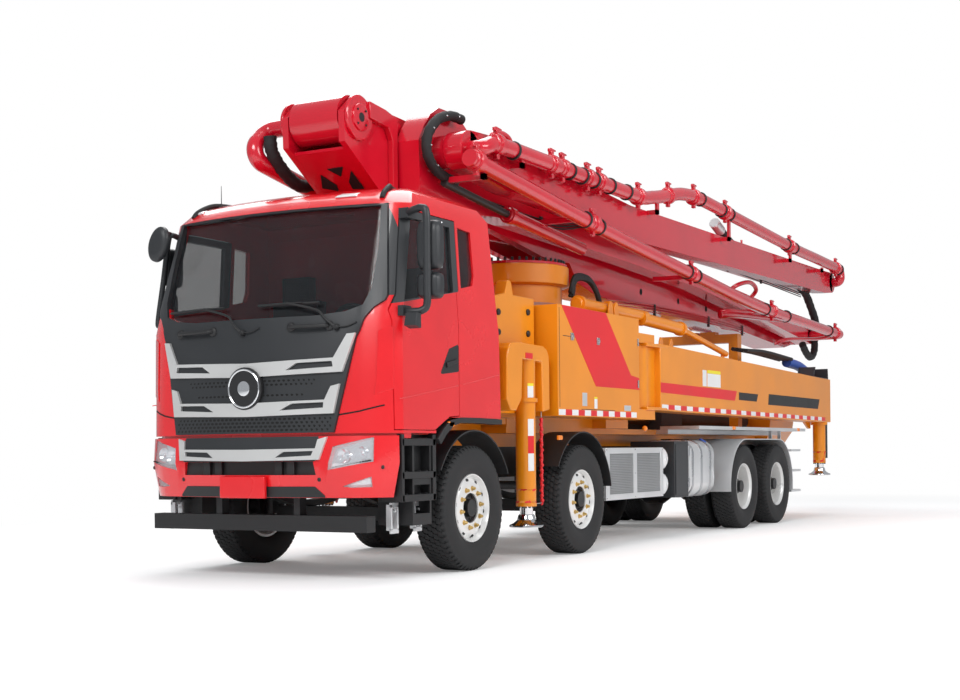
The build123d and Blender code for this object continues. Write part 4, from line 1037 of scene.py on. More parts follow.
BEAM = ((4.14, 1.434), (10.2, 1.385), (10.85, 1.385), (10.85, 2.024), (10.3, 2.03), (4.14, 2.165))
for name, side in SIDES:
    body, jack = f"rear_outrigger_{name}", f"rear_jack_{name}"
    leg = at(side * LEG_X, REAR_LEG_Y, 0)
    beam = Form()
    beam.plate(BEAM, side, 0.95, 1.25)
    beam.slab(side, 0.98, 1.18, 3.85, 4.15, 1.47, 2.12)
    beam.plate(((10.25, 1.39), (10.56, 1.39), (10.56, 1.29), (10.48, 1.29)), side, 0.99, 1.03)
    for z in (1.434, 2.12):
        beam.plate(((3.76, z), (4.33, z), (4.33, z + 0.035), (3.76, z + 0.035)), side, 0.96, 1.252)
    beam = beam.done(f"rear_beam_{name}", "orange_paint", body, 30, 0.008)
    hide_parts(body)
    posts = Form()
    posts.lathe(((1.335, 0), (1.335, 0.0597), (1.45, 0.0597), (1.45, 0.13), (2.14, 0.13),
                 (2.14, 0.0597), (2.245, 0.0597), (2.245, 0)),
                at(side * 1.08, SWING_PIN_Y, 0), UP, 40)
    posts.lathe(((0.78, 0.08), (0.78, LEG_R), (1.39, LEG_R)), leg, UP, 40)
    posts.lathe(((1.345, LEG_R), (1.345, 0.122), (1.388, 0.122)), leg, UP, 40)
    posts.done(f"rear_posts_{name}", "orange_paint", body)
    block = Form()
    block.slab(side, 1.06, 1.2, 10.775, 10.85, 0.85, 1.39)
    for k in range(6):
        z = 0.88 + 0.085 * k
        block.slab(side, 1.07, 1.19, 10.85, 10.862, z, z + 0.05)
    block.done(f"rear_leg_guard_{name}", "black_plastic", body, 30, 0.006)
    tray = Form().prism(((10.08, 2.028), (10.18, 2.185), (10.195, 2.185), (10.105, 2.043),
                         (10.835, 2.043), (10.817, 2.185), (10.83, 2.185), (10.85, 2.026)),
                        "x", side * 0.97, side * 1.22)
    tray.done(f"rear_tray_{name}", "anthracite", body, 30, 0.004)
    leg_ram(f"rear_ram_{name}", leg, 0.6, 0.62, 1.85, jack)
    band(f"rear_leg_hazard_{name}", leg, 0.0935, 0.8, 0.95, 10, 0.9,
         ("red_tape", "orange_paint"), body)
    bolts = Form().bolts(leg + Vector((0, 0, 0.766)), UP, 0.082, 14, 0.008, 0.014)
    bolts.done(f"rear_leg_bolts_{name}", "black_frame", body)


# ---- marks on the sides ----------------------------------------------------
def decal(name, outline, side, material, body="root", thick=0.0016):
    """A thin coloured mark on the side face."""
    form = Form().prism(outline, "x", side * (SKIN_X - 0.001), side * (SKIN_X + thick))
    form.done(name, material, body, 0)


def oblong(y0, y1, z0, z1):
    """Corners of an upright rectangle."""
    return (y0, z0), (y1, z0), (y1, z1), (y0, z1)


def tape(name, start, end, height, count, side, body):
    """Red and white blocks in turn, from start to end (y, z)."""
    for k, colour in enumerate(("white_tape", "red_tape")):
        form = Form()
        for i in range(k, count, 2):
            (y0, z0), (y1, z1) = ([a + (b - a) * k / count for a, b in zip(start, end)]
                                  for k in (i, i + 1))
            form.plate(((y0, z0), (y1, z1), (y1, z1 + height), (y0, z0 + height)),
                       side, 1.2495, 1.2515)
        form.done(f"{name}_{colour}", colour, body, 0)


for name, side in SIDES:
    beam = f"rear_outrigger_{name}"
    for mark, outline, material, body in (
            ("box_stripe", ((1.67, 2.388), (2.69, 2.388), (3.32, 1.785), (3.538, 1.765),
                            (3.538, 1.64), (2.44, 1.64)), "red_tape", "root"),
            ("beam_stripe", ((4.142, 1.742), (6.64, 1.722), (6.56, 1.6), (4.142, 1.632)),
             "red_tape", beam),
            ("beam_dark_stripe", ((7.91, 1.722), (10.27, 1.712), (10.18, 1.57), (7.88, 1.58)),
             "black_plastic", beam),
            ("beam_label_a", oblong(5.44, 5.57, 1.745, 1.935), "white_paint", beam),
            ("beam_label_b", oblong(5.6, 6.05, 1.745, 1.9), "white_tape", beam),
            ("beam_label_c", oblong(5.6, 6.05, 1.902, 1.94), "yellow_tape", beam)):
        decal(f"{mark}_{name}", outline, side, material, body)
    decal(f"beam_plate_{name}", ((6.72, 1.615), (7.4, 1.61), (7.46, 1.705), (6.72, 1.71)),
          side, "black_plastic", beam, 0.003)
    tape(f"beam_tape_{name}", (4.17, 1.45), (10.56, 1.402), 0.052, 34, side, beam)
    tape(f"box_tape_{name}", (1.6, 1.345), (3.46, 1.345), 0.055, 13, side, "root")
    for k, (*place, finish) in enumerate((
            (2.12, 2.23, 1.44, 1.57, "aluminium"), (2.4, 2.47, 1.42, 1.515, "white_tape"),
            (2.4, 2.47, 1.516, 1.535, "yellow_tape"), (3.14, 3.31, 1.412, 1.468, "aluminium"))):
        decal(f"box_label_{name}_{k}", oblong(*place), side, finish)
    latches = Form()
    for y, z in ((1.89, 2.1), (2.49, 2.09)):
        latches.slab(side, 1.249, 1.262, y - 0.03, y + 0.03, z - 0.035, z + 0.035)
        latches.lathe(((0.0, 0.018), (0.012, 0.018), (0.014, 0.012)), at(side * 1.261, y, z),
                      (side, 0, 0), 16)
    for z in (2.14, 1.7):
        latches.rod(at(side * 1.256, 3.5, z - 0.04), at(side * 1.256, 3.5, z + 0.04), 0.01)
    latches.done(f"box_latches_{name}", "steel", "root", 30, 0.002)
    seam = Form()
    for place in ((1.7, 2.7, 2.097, 2.103), (1.62, 1.626, 1.42, 2.36), (2.1, 2.9, 1.405, 1.411)):
        seam.slab(side, 1.2495, 1.2512, *place)
    seam.done(f"box_seams_{name}", "black_plastic", "root", 0)
    lamps = Form()
    for y, z, x in ((6.55, 1.262, 1.236), (9.25, 1.262, 1.236), (1.66, 1.13, 1.225),
                    (-0.42, 1.235, 1.248)):
        lamps.slab(side, x - 0.01, x + 0.014, y - 0.045, y + 0.045, z - 0.022, z + 0.022)
    lamps.ball(at(side * 1.2, 3.8, 1.235), 0.03)
    lamps.done(f"side_lamps_{name}", "amber", "root", 40, 0.006)


# ---- swing cylinders and ears on the deck -----------------------------------
for name, side in SIDES:
    barrel = Form()
    barrel.rod(at(side * 0.95, 2.64, 2.5), at(side * 0.95, 4.45, 2.5), 0.062, 24)
    barrel.rod(at(side * 0.95, 4.3, 2.47), at(side * 1.02, 5.35, 2.42), 0.07, 24)
    barrel.rod(at(side * 1.02, 5.35, 2.42), at(side * 1.05, 6.82, 2.2), 0.036, 20)
    for x, y, z in ((0.95, 2.7, 2.5), (0.95, 3.42, 2.5), (0.95, 4.3, 2.47), (1.02, 5.32, 2.42)):
        barrel.collar(at(side * x, y, z), (0, 1, 0), 0.03, 0.06, 0.084)
    barrel.done(f"swing_cylinder_{name}", "orange_paint")
    ears = Form()
    for y, z in ((3.3, 2.39), (3.45, 2.39), (4.7, 2.1), (5.0, 2.1), (6.75, 2.04)):
        ears.plate(((y - 0.06, z), (y - 0.05, z + 0.13), (y - 0.02, z + 0.18),
                    (y + 0.02, z + 0.18), (y + 0.05, z + 0.13), (y + 0.06, z)), side, 1.02, 1.04)
    ears.done(f"deck_ears_{name}", "orange_paint", "root", 30, 0.004)


# ---- boxes and tanks beside the frame --------------------------------------
WIRE = 0.0035  # half the width of a wire of the mesh
TANK_CORNER, TANK_X, TANK_Z = 0.165, (0.56, 1.18), (0.45, 1.11)


def tank_ring(side, y, gap):
    """The tank's rounded section at y, grown all round by gap."""
    half_x, half_z = (TANK_X[1] - TANK_X[0]) / 2, (TANK_Z[1] - TANK_Z[0]) / 2
    ring = []
    for sx, sz, start in ((1, -1, -90), (1, 1, 0), (-1, 1, 90), (-1, -1, 180)):
        for k in range(9):
            t = math.radians(start + 90 * k / 8)
            x = sx * (half_x - TANK_CORNER) + TANK_CORNER * math.cos(t)
            z = sz * (half_z - TANK_CORNER) + TANK_CORNER * math.sin(t)
            ring.append(at(side * (sum(TANK_X) / 2 + x * (1 + gap / half_x)), y,
                           sum(TANK_Z) / 2 + z * (1 + gap / half_z)))
    return ring


for name, side in SIDES:
    case = Form()
    case.slab(side, 0.7, 1.15, 2.84, 4.39, 0.49, 1.03)
    for y0, y1, z0, z1 in ((2.84, 2.94, 0.49, 1.03), (3.56, 3.65, 0.49, 1.03),
                           (4.31, 4.39, 0.49, 1.03), (2.94, 3.56, 0.49, 0.55),
                           (3.65, 4.31, 0.49, 0.55), (2.94, 3.56, 0.97, 1.03),
                           (3.65, 4.31, 0.97, 1.03)):
        case.slab(side, 1.15, 1.17, y0, y1, z0, z1)
    case = case.done(f"mesh_box_{name}", "aluminium", "root", 30, 0.003)
    mesh_form = Form()
    for y0, y1 in ((2.94, 3.56), (3.65, 4.31)):
        for i in range(25):
            z = 0.55 + 0.42 * i / 24
            mesh_form.slab(side, 1.152, 1.16, y0, y1, z - WIRE, z + WIRE)
        for i in range(31):
            y = y0 + (y1 - y0) * i / 30
            mesh_form.slab(side, 1.153, 1.161, y - WIRE, y + WIRE, 0.55, 0.97)
    mesh_form.done(f"mesh_panels_{name}", "perforated", "root", 0)
    screws = Form()
    for y in (2.86, 3.6, 4.37):
        for z in (0.51, 0.76, 1.01):
            screws.lathe(((0, 0.008), (0.005, 0.007), (0.006, 0.0)), at(side * 1.17, y, z),
                         (side, 0, 0), 10)
    screws.done(f"mesh_screws_{name}", "steel")
    if side > 0:
        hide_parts("side_boxes")
    tank = Form().loft([tank_ring(side, y, gap) for y, gap in (
        (5.195, -0.06), (5.197, -0.02), (5.205, -0.004), (5.215, 0.0), (5.99, 0.0),
        (6.0, -0.004), (6.008, -0.02), (6.01, -0.06))])
    tank = tank.done(f"fuel_tank_{name}", "aluminium", "root", 40)
    if side > 0:
        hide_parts("fuel_tanks")
    straps = Form()
    for y in (5.27, 5.56, 5.85):
        straps.loft([tank_ring(side, y + dy, gap) for dy, gap in (
            (-0.026, 0.001), (-0.024, 0.007), (0.024, 0.007), (0.026, 0.001))])
        for dy in (-0.005, 0.005):
            straps.slab(side, 0.8, 0.9, y - 0.03, y + 0.03, 1.112, 1.128)
    straps.done(f"tank_straps_{name}", "steel", "root", 40)
    case = Form().slab(side, 0.62, 1.16, 4.75, 5.185, 0.46, 1.1)
    case.slab(side, 1.16, 1.168, 4.78, 5.16, 0.49, 1.07)
    case.done(f"side_case_{name}", "anthracite", "root", 30, 0.008)
    corners = Form()
    for z in (0.62, 0.98):
        corners.slab(side, 1.15, 1.176, 5.15, 5.2, z - 0.05, z + 0.05)
    corners.done(f"side_case_clips_{name}", "steel", "root", 30, 0.003)
    cap = Form().lathe(((0.0, 0.045), (0.03, 0.045), (0.036, 0.038), (0.036, 0.0)),
                       at(side * 1.06, 5.9, 1.085), (side * 0.5, 0, 0.87), 24)
    cap.done(f"tank_cap_{name}", "blue_cap")

tanks = Form()
for z in (0.62, 0.905):
    tanks.lathe(((0.44, 0.0), (0.444, 0.06), (0.462, 0.105), (0.49, 0.125), (1.08, 0.125),
                 (1.112, 0.112), (1.136, 0.078), (1.148, 0.035), (1.15, 0.0)),
                at(0, 4.54, z), (1, 0, 0), 40)
    tanks.lathe(((1.146, 0.02), (1.158, 0.02), (1.158, 0.0)), at(0, 4.54, z), (1, 0, 0), 12)
tanks.box(0.46, 0.54, 4.5, 4.58, 0.7, 0.85)
tanks = tanks.done("air_tank_pair", "white_paint", "root", 40)
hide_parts("air_tanks")


# ---- drum and bolted ring behind the cab, and hoses -------------------------
RING_Y = 3.12  # centre of the drum and its ring
drum = Form().lathe(((2.56, 0.0), (2.56, 0.5), (2.74, 0.5), (2.752, 0.56), (2.76, 0.575),
                     (2.95, 0.575), (2.958, 0.568), (2.96, 0.0)), at(0, RING_Y, 0), UP, 72)
drum.done("ring_drum", "orange_paint")
drum = Form().lathe(((2.958, 0.3), (2.96, 0.56), (2.985, 0.56), (2.99, 0.55), (2.99, 0.3)),
                    at(0, RING_Y, 0), UP, 72)
drum.done("ring_flange", "boom_red")
studs = Form()
for t in turned(44):
    studs.lathe(((0, 0.015), (0.035, 0.015), (0.038, 0.012), (0.038, 0)),
                at(0.525 * math.cos(t), RING_Y + 0.525 * math.sin(t), 2.99), UP, 8)
studs.done("ring_studs", "black_frame")
bundle = Form()
for k in range(7):
    dy, dz = 0.02 * (k % 3) - 0.02, 0.022 * (k // 3) - 0.02
    dx = 0.02 * (k % 2)
    bundle.tube(smooth_line([at(0.6 + dx, 3.24 + dy, 2.66 + dz), at(0.61, 3.34 + dy, 2.84 + dz),
                             at(0.63 + dx, 3.58, 2.86 + dz), at(0.62, 3.82 + dy, 2.78 + dz),
                             at(0.58, 4.02 + dy, 2.66 + dz)]), 0.02, 10)
bundle.done("deck_hoses", "rubber", "root", 40)
bundle = Form()
for k, x in enumerate((0.8, 0.86, 0.92, 0.98)):
    bundle.tube(upright(x, (7.79, 2.33 - 0.01 * k), (8.6, 2.325), (9.8, 2.285)), 0.026, 12)
bundle.done("beam_hoses", "rubber", "rear_outrigger_left", 40)
bundle = Form().tube(upright(0.9, (9.82, 2.245), (10.4, 2.215), (10.99, 2.105)), 0.07, 18)
bundle.done("beam_roll", "blue_cap", "rear_outrigger_left", 40)


# ---- boom ------------------------------------------------------------------
SLEW_Y = 1.1  # the slewing axis of the boom
# the boom parts take the darker red, which is partly their crimson paint and partly painted shade
for node in ("turret", "arm_1", "arm_2", "arm_3", "arm_4", "arm_5", "lift_barrel"):
    frame["nodes"][node].data.materials[0] = MAT["boom_red"]
LOWER = ((0.3, 3.57), (1.52, 3.45), (4.01, 3.22), (8.22, 2.9), (12.12, 2.79))
UPPER = ((0.72, 3.77), (4.11, 3.78), (4.93, 3.92), (5.38, 4.01), (5.97, 4.03),
         (9.59, 3.88), (12.2, 3.815))
PIPE_X, PIPE_R = 1.04, 0.075
ROOT_PIN, REAR_PIN, HEAD_PIN, TAIL_PIN = (-0.37, 3.87), (12.15, 2.82), (0.52, 3.69), (12.15, 3.62)
ARM_2_X, ARM_3_X = (0.345, 0.58), (0.74, 0.93)
ARM_2 = ((0.23, 3.2), (0.21, 3.76), (0.3, 3.9), (0.42, 4.03), (0.56, 4.11),
         (0.9, 4.11), (1.08, 4.0), (1.5, 3.7), (3.0, 3.48), (11.9, 2.99),
         (12.15, 2.98), (12.15, 2.66), (11.8, 2.7), (9.98, 2.86), (7.2, 3.09),
         (4.9, 3.18), (3.33, 3.22), (1.65, 3.27), (0.42, 3.175))
ARM_3 = ((0.52, 3.52), (0.52, 3.86), (0.9, 3.88), (4.1, 3.7), (11.7, 3.76),
         (12.15, 3.77), (12.15, 3.46), (11.7, 3.42), (4.5, 3.33), (3.0, 3.4), (1.2, 3.43))


def pin(form, x0, x1, place, radius, segments=40):
    """A round boss across the boom from x0 to x1."""
    length = x1 - x0
    return form.lathe(((0.0, radius - 0.008), (0.008, radius), (length - 0.008, radius),
                       (length, radius - 0.008)), at(x0, *place), (1, 0, 0), segments)


def pipe_holders(form, x0, half, places):
    """Arms from the boom's side out to the pipe, each with an upright end."""
    for y, low, high in places:
        form.box(x0, PIPE_X + half, y - 0.03, y + 0.03, low, low + 0.05)
        form.box(PIPE_X - half, PIPE_X + half, y - 0.03, y + 0.03, low, high)


section = Form().prism(ARM_2, "x", *ARM_2_X)
pin(section, *ARM_2_X, REAR_PIN, 0.16)
pin(section, 0.58, 0.73, HEAD_PIN, 0.15)
pin(section, 0.73, 0.935, HEAD_PIN, 0.07)
section.tube([*upright(PIPE_X, (0.3, 3.57), (0.6, 3.54), (1.52, 3.45), (2.7, 3.335), (4.01, 3.22),
                       (6.0, 3.065), (8.22, 2.9), (10.0, 2.848), (11.9, 2.796), (12.06, 2.792)),
              (PIPE_X - 0.03, 12.115, 2.79), (PIPE_X - 0.1, 12.13, 2.79), (0.7, 12.13, 2.79),
              (0.58, 12.13, 2.79)], PIPE_R, 24)
pipe_holders(section, 0.58, 0.02, ((0.56, 3.42, 3.48), (2.5, 3.3, 3.37), (5.6, 3.03, 3.1),
                                   (8.7, 2.88, 2.94)))
top = ARM_2[7:10]
section.prism([(y, z + 0.022) for y, z in top] + [(y, z - 0.004) for y, z in top[::-1]],
              "x", 0.33, 0.6)
section = section.done("boom_section_2", "boom_red", "arm_2", 30, 0.006)
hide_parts("arm_2")

section = Form().prism(ARM_3, "x", *ARM_3_X)
pin(section, *ARM_3_X, HEAD_PIN, 0.17)
pin(section, *ARM_3_X, TAIL_PIN, 0.16)
pin(section, 0.59, 0.74, TAIL_PIN, 0.12)
pin(section, 0.33, 0.59, TAIL_PIN, 0.06)
section.tube([at(0.93, *HEAD_PIN), at(0.985, *HEAD_PIN), (1.025, 0.54, 3.695),
              *upright(PIPE_X, (0.62, 3.725), (0.74, 3.762), (1.0, 3.775), (2.4, 3.778),
                       (4.0, 3.782), (4.45, 3.83), (4.93, 3.92), (5.38, 4.005), (5.97, 4.03),
                       (7.2, 3.98), (9.59, 3.88), (11.0, 3.85), (12.06, 3.822), (12.16, 3.8),
                       (12.2, 3.74), (12.2, 3.68)),
              (PIPE_X - 0.03, 12.2, 3.635), (0.93, 12.2, 3.62)], PIPE_R, 24)
pipe_holders(section, 0.925, 0.015, ((1.3, 3.64, 3.71), (4.6, 3.66, 3.8), (7.0, 3.65, 3.92),
                                     (9.59, 3.66, 3.82), (11.2, 3.68, 3.75)))
section = section.done("boom_section_3", "boom_red", "arm_3", 30, 0.006)
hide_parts("arm_3")

web = Form()
web.prism(((3.9, 3.16), (4.15, 2.9), (4.7, 2.79), (8.0, 2.745), (11.8, 2.7), (11.8, 2.74),
           (8.0, 2.88), (4.7, 3.07), (4.1, 3.13)), "x", -0.249, 0.249)
for side in (1, -1):
    web.plate(((8.56, 2.8), (8.96, 2.7), (9.64, 2.7), (9.76, 2.8)), side, 0.17, 0.24)
web.done("boom_web_1", "boom_red", "arm_1", 30, 0.006)
# the lightening holes of the boom plates are near-black discs: painted shade inside the holes
for name, body, face, sides, places in (
        ("boom_hole_shade_1", "arm_1", 0.2495, (1, -1), ((5.99, 2.96), (7.24, 2.95), (8.28, 2.93))),
        ("boom_hole_shade_2", "arm_2", 0.5795, (1,), ((8.22, 3.1), (10.42, 2.96)))):
    hole_shade_discs = Form()
    for side in sides:
        for y, z in places:
            hole_shade_discs.lathe(((0, 0.04), (0.002, 0.04)), at(side * face, y, z), (side, 0, 0), 28)
    hole_shade_discs.done(name, "hole", body)
RIB = ((-0.25, 4.03), (-0.25, 3.89), (0.04, 3.86), (0.11, 3.76), (0.11, 3.24),
       (0.19, 3.19), (0.19, 3.96), (0.0, 4.005))
ribs = Form()
for side in (1, -1):
    ribs.plate(RIB, side, 0.322, 0.377)
    ribs.lathe(((0.0, 0.195), (0.025, 0.195), (0.031, 0.188)), at(side * 0.322, *ROOT_PIN),
               (side, 0, 0), 48)
    ribs.lathe(((0.025, 0.12), (0.045, 0.118), (0.047, 0.112)), at(side * 0.322, *ROOT_PIN),
               (side, 0, 0), 40)
ribs.done("turret_ribs", "boom_red", "turret", 30, 0.006)
bolts = Form()
for side in (1, -1):
    bolts.bolts(at(side * 0.367, *ROOT_PIN), (side, 0, 0), 0.085, 4, 0.01, 0.012, 0.8)
    bolts.lathe(((0.0, 0.04), (0.003, 0.04)), at(side * 0.368, *ROOT_PIN), (side, 0, 0), 20)
bolts.done("turret_pin_bolts", "black_frame", "turret", 30)
# the three openings in the turret's front wall are near-black sheets: painted shade in the
# openings
down = Vector((0, 0.4, -0.27)).normalized()
normal = Vector((0, -0.27, -0.4)).normalized()
opening_shade_sheets = Form()
for outline in (((-0.141, 0.265), (-0.216, 0.421), (-0.075, 0.476), (-0.058, 0.411)),
                ((-0.036, 0.206), (0.13, 0.202), (0.049, 0.31)),
                ((0.183, 0.259), (0.09, 0.383), (0.079, 0.475), (0.194, 0.485))):
    opening_shade_sheets.loft([[at(0, -0.48, 3.592) + Vector((x, 0, 0)) + down * d + normal * lift
                    for x, d in outline] for lift in (-0.004, 0.0035)])
opening_shade_sheets.done("turret_opening_shade", "hole", "turret", 0)


def pipe_fittings(name, path, couplings, rings, body):
    """Couplings with their wedges, and rubber rings, at places along a pipe."""
    joints, rubber, wedges = Form(), Form(), Form()
    for y in couplings:
        z, slope = on_path(path, y)
        axis = Vector((0, 1, slope)).normalized()
        joints.lathe(((-0.085, 0.074), (-0.08, 0.084), (-0.035, 0.084), (-0.032, 0.098),
                      (0.032, 0.098), (0.035, 0.084), (0.08, 0.084), (0.085, 0.074)),
                     at(PIPE_X, y, z), axis, 32)
        for low, high in ((0.085, 0.135), (-0.13, -0.085)):
            joints.box(PIPE_X - 0.02, PIPE_X + 0.02, y - 0.026, y + 0.026, z + low, z + high)
        wedges.prism(((y - 0.055, z + 0.12), (y + 0.085, z + 0.138), (y + 0.085, z + 0.152),
                      (y - 0.02, z + 0.16), (y - 0.055, z + 0.15)), "x", PIPE_X - 0.012,
                     PIPE_X + 0.012)
    for y in rings:
        z, slope = on_path(path, y)
        rubber.lathe(((-0.014, 0.074), (-0.014, 0.084), (-0.009, 0.088), (0.009, 0.088),
                      (0.014, 0.084), (0.014, 0.074)), at(PIPE_X, y, z), (0, 1, slope), 32)
    joints.done(f"{name}_couplings", "boom_red", body, 30, 0.003)
    wedges.done(f"{name}_wedges", "boom_red", body, 30, 0.003)
    rubber.done(f"{name}_rings", "rubber", body)


pipe_fittings("lower_pipe", LOWER, (0.42, 2.85, 5.65, 8.72, 11.9),
              (2.67, 3.0, 5.52, 5.8, 8.42, 9.35, 11.5), "arm_2")
pipe_fittings("upper_pipe", UPPER, (0.8, 1.91, 2.15, 2.73, 3.02, 4.05, 4.93, 5.75, 6.86, 9.55,
                                    11.95),
              (1.12, 2.31, 2.6, 2.88, 3.28, 3.72, 5.97, 6.71, 7.01, 9.38, 9.76, 12.12), "arm_3")

for name, body, line, radius, wrinkle in (
        ("head", "arm_2", upright(0.66, (0.83, 4.045), (0.63, 4.04), (0.4, 3.96), (0.23, 3.79),
                                  (0.23, 3.62), (0.4, 3.5), (0.71, 3.45)), 0.046, 0.05),
        ("turret", "turret", ((-0.5, -0.51, 3.78), (-0.5, -0.49, 3.66), (-0.5, -0.4, 3.56),
                              (-0.5, -0.26, 3.47), (-0.49, -0.1, 3.41), (-0.47, 0.08, 3.44),
                              (-0.44, 0.26, 3.52)), 0.058, 0.06),
        ("tail_upper", "arm_2", upright(0.62, (11.45, 3.5), (11.75, 3.42), (12.05, 3.22),
                                        (12.28, 3.02), (12.24, 2.9)), 0.06, 0.05),
        ("tail_lower", "arm_2", upright(0.62, (11.55, 2.62), (11.75, 2.5), (11.98, 2.44),
                                        (12.18, 2.54), (12.22, 2.72), (12.2, 2.86)),
         0.055, 0.05)):
    Form().tube(line, radius, 16, wrinkle).done(f"hose_sleeve_{name}", "hose", body, 50)
studs = Form()
for y, z in ((0.72, 4.045), (0.5, 4.01), (0.27, 3.86), (0.22, 3.7), (0.33, 3.54)):
    studs.ball(at(0.705, y, z), 0.009)
studs.done("hose_sleeve_studs", "steel", "arm_2", 40)

lines = Form()
for k in range(4):
    lines.tube(upright(0.276, (4.89, 2.775 - 0.03 * k), (6.36, 2.815 - 0.028 * k),
                       (8.3, 2.815 - 0.028 * k), (9.81, 2.775 - 0.028 * k)), 0.008, 8)
lines.done("boom_lines_1", "boom_red", "arm_1", 60)
lines = Form()
for k in range(3):
    lines.tube(upright(0.592, (1.24, 3.4 - 0.028 * k), (2.94, 3.38 - 0.028 * k),
                       (4.25, 3.57 - 0.028 * k), (6.79, 3.53 - 0.028 * k),
                       (9.63, 3.47 - 0.028 * k), (11.58, 3.42 - 0.028 * k)), 0.008, 8)
lines.done("boom_lines_2", "rubber", "arm_2", 60)
for name, body, x0, x1, high, places in (
        ("boom_clips_2", "arm_2", 0.58, 0.606, 0.03,
         ((2.57, 3.37), (4.25, 3.57), (5.38, 3.555), (6.79, 3.53), (8.22, 3.5), (9.63, 3.47))),
        ("boom_clips_1", "arm_1", 0.262, 0.29, 0.06, ((6.36, 2.77), (8.3, 2.77), (9.7, 2.74)))):
    clips = Form()
    for y, z in places:
        clips.box(x0, x1, y - 0.02, y + 0.02, z - 0.085, z + high)
    clips.done(name, "black_plastic", body, 30, 0.003)

handles = Form()
handles.tube([(0.6, 8.17, 3.13), (0.72, 8.25, 3.23), (0.75, 8.67, 3.3), (0.72, 9.02, 3.23),
              (0.6, 9.06, 3.1)], 0.03, 14)
handles.tube([(0.585, 7.9, 2.81), (0.7, 8.1, 2.83), (0.8, 9.2, 2.86),
              (0.98, 9.79, 2.87)], 0.06, 18)
handles.tube([(0.6, 10.2, 2.55), (0.75, 10.4, 2.62), (0.85, 11.6, 2.7),
              (0.96, 11.9, 2.76)], 0.028, 14)
handles.done("boom_rails_2", "boom_red", "arm_2", 60)
rails = Form()
rails.tube(upright(0.9, (0.94, 3.8), (1.0, 3.92), (1.2, 3.95), (1.33, 3.9),
                   (1.36, 3.75)), 0.028, 14)
rails.tube([(0.86, 4.6, 3.62), (0.9, 5.1, 3.67), (0.9, 6.2, 3.69), (0.86, 6.6, 3.62)], 0.028, 14)
rails.done("boom_rails_3", "boom_red", "arm_3", 60)

cylinder = Form()
cylinder.rod(at(0.66, 1.7, 3.3), at(0.66, 3.4, 3.16), 0.07, 24)
cylinder.collar(at(0.66, 1.75, 3.296), (0, 1, -0.08), 0.04, 0.07, 0.085)
cylinder.done("fold_cylinder", "boom_red", "arm_2", 30)
rod = Form().rod(at(0.66, 0.5, 3.42), at(0.66, 1.72, 3.3), 0.036, 20)
rod.done("fold_cylinder_rod", "black_plastic", "arm_2", 30)

hose = Form().tube(upright(0.8, (7.3, 3.86), (7.75, 3.72), (8.3, 3.66), (9.1, 3.65),
                           (9.85, 3.66)), 0.062, 18, 0.02)
hose.done("end_hose", "hose", "arm_3", 60)
cap = Form()
cap.rod(at(0.8, 7.12, 3.92), at(0.8, 7.36, 3.84), 0.07, 24)
cap.rod(at(0.8, 9.8, 3.66), at(0.8, 9.98, 3.66), 0.067, 24)
cap.done("end_hose_caps", "aluminium", "arm_3", 30)
brackets = Form()
for y, z in ((7.95, 3.69), (9.1, 3.65)):
    brackets.tube([(0.72, y, z + 0.13), (0.72, y, z - 0.02), (0.75, y, z - 0.075),
                   (0.8, y, z - 0.085), (0.85, y, z - 0.075), (0.88, y, z - 0.02),
                   (0.88, y, z + 0.1)], 0.014, 10)
brackets.rod(at(0.8, 9.95, 3.66), at(0.8, 11.9, 3.68), 0.06, 20)
for y in (10.55, 11.15, 11.6):
    brackets.collar(at(0.8, y, 3.67), (0, 1, 0), 0.03, 0.06, 0.08)
brackets.done("end_hose_brackets", "boom_red", "arm_3", 30)

flange = Form()
for t in turned(40):
    place = at(0, SLEW_Y, 2.56) + Vector((math.cos(t) * 0.555, math.sin(t) * 0.555, 0))
    flange.lathe(((0, 0.02), (0.055, 0.02), (0.06, 0.014)), place, UP, 10)
flange.done("turret_flange_bolts", "black_frame", "turret")


# ---- stage -----------------------------------------------------------------
def light_path_mix(tree, seen, rest):
    """Shader seen for what the camera and glass see, rest for the others."""
    path = add(tree, "LightPath", {})
    high = add(tree, "Math", {0: path.outputs["Is Camera Ray"],
                              1: path.outputs["Is Transmission Ray"]}, operation="MAXIMUM")
    return add(tree, "MixShader", {"Fac": high.outputs[0], 1: rest, 2: seen}).outputs[0]


world = bpy.data.worlds.new("world")
scene.world = world
world.use_nodes = True
tree = world.node_tree
seen = add(tree, "Background", {"Strength": 1.0, "Color": (1, 1, 1, 1)})
fill = tree.nodes["Background"]
fill.inputs["Color"].default_value = (0.93, 0.96, 1.0, 1)
fill.inputs["Strength"].default_value = 0.42
tree.links.new(light_path_mix(tree, seen.outputs[0], fill.outputs[0]),
               tree.nodes["World Output"].inputs["Surface"])

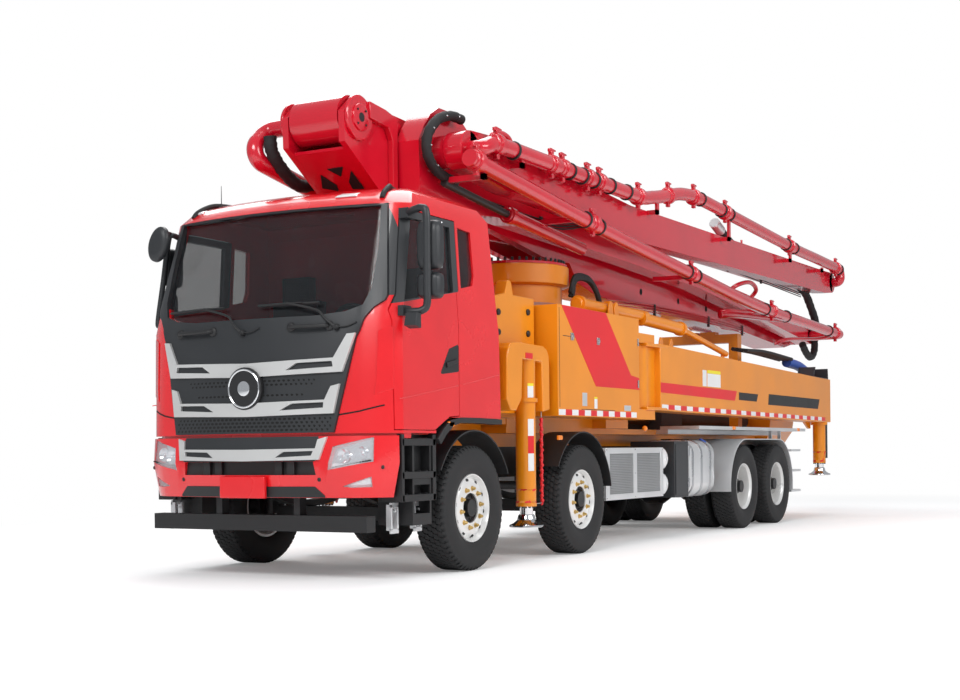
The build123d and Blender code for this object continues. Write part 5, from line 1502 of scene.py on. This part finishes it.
# a floor that takes shadows near the truck and fades to white with distance
FLOOR = 200  # half its width
floor_mesh = bpy.data.meshes.new("floor")
floor_mesh.from_pydata([(-FLOOR, -FLOOR, 0), (FLOOR, -FLOOR, 0), (FLOOR, FLOOR, 0),
                        (-FLOOR, FLOOR, 0)], [], [(0, 1, 2, 3)])
floor = bpy.data.objects.new("floor", floor_mesh)
scene.collection.objects.link(floor)
mat, tree, shader = new_material("floor", Base_Color=(0.92, 0.92, 0.92, 1), Roughness=0.9,
                                 Specular_IOR_Level=0.0)
camera_ray = add(tree, "LightPath", {}).outputs["Is Camera Ray"]
lift = add(tree, "Emission", {"Color": (1, 1, 1, 1)})
scale = add(tree, "Math", {1: 0.16, 0: camera_ray}, operation="MULTIPLY")
tree.links.new(scale.outputs[0], lift.inputs["Strength"])
both = add(tree, "AddShader", {0: shader.outputs[0], 1: lift.outputs[0]})
place = add(tree, "TexCoord", {}).outputs["Object"]
squeeze = add(tree, "Mapping", {"Scale": (1.0, 0.55, 1.0), "Vector": place})
length = add(tree, "VectorMath", {0: squeeze.outputs["Vector"]}, operation="LENGTH")
fade = add(tree, "MapRange", {"From Min": 4.0, "From Max": 9.0, "Value": length.outputs["Value"]},
           interpolation_type="SMOOTHSTEP")
seen_only = add(tree, "Math", {0: fade.outputs["Result"], 1: camera_ray}, operation="MULTIPLY")
white = add(tree, "Emission", {"Strength": 1.0})
far = add(tree, "MixShader", {"Fac": seen_only.outputs[0], 1: both.outputs[0],
                              2: white.outputs[0]})
tree.links.new(far.outputs[0], tree.nodes["Material Output"].inputs["Surface"])
floor_mesh.materials.append(mat)


def area_light(name, place, target, size, power):
    """A soft rectangular light turned to a target."""
    data = bpy.data.lights.new(name, "AREA")
    data.shape = "RECTANGLE"
    data.size, data.size_y = size
    data.energy = power
    light = bpy.data.objects.new(name, data)
    scene.collection.objects.link(light)
    direction = Vector(target) - Vector(place)
    light.matrix_world = (Matrix.Translation(place)
                          @ direction.to_track_quat("-Z", "Y").to_matrix().to_4x4())


area_light("key", (4.0, -22.0, 13.0), (0, -3, 1.5), (10.0, 6.0), 2100.0)
area_light("side", (16.0, -4.0, 9.0), (0, 1, 1.5), (14.0, 5.0), 1300.0)
area_light("top", (-4.0, 2.0, 14.0), (0, 0, 1.5), (8.0, 18.0), 1700.0)
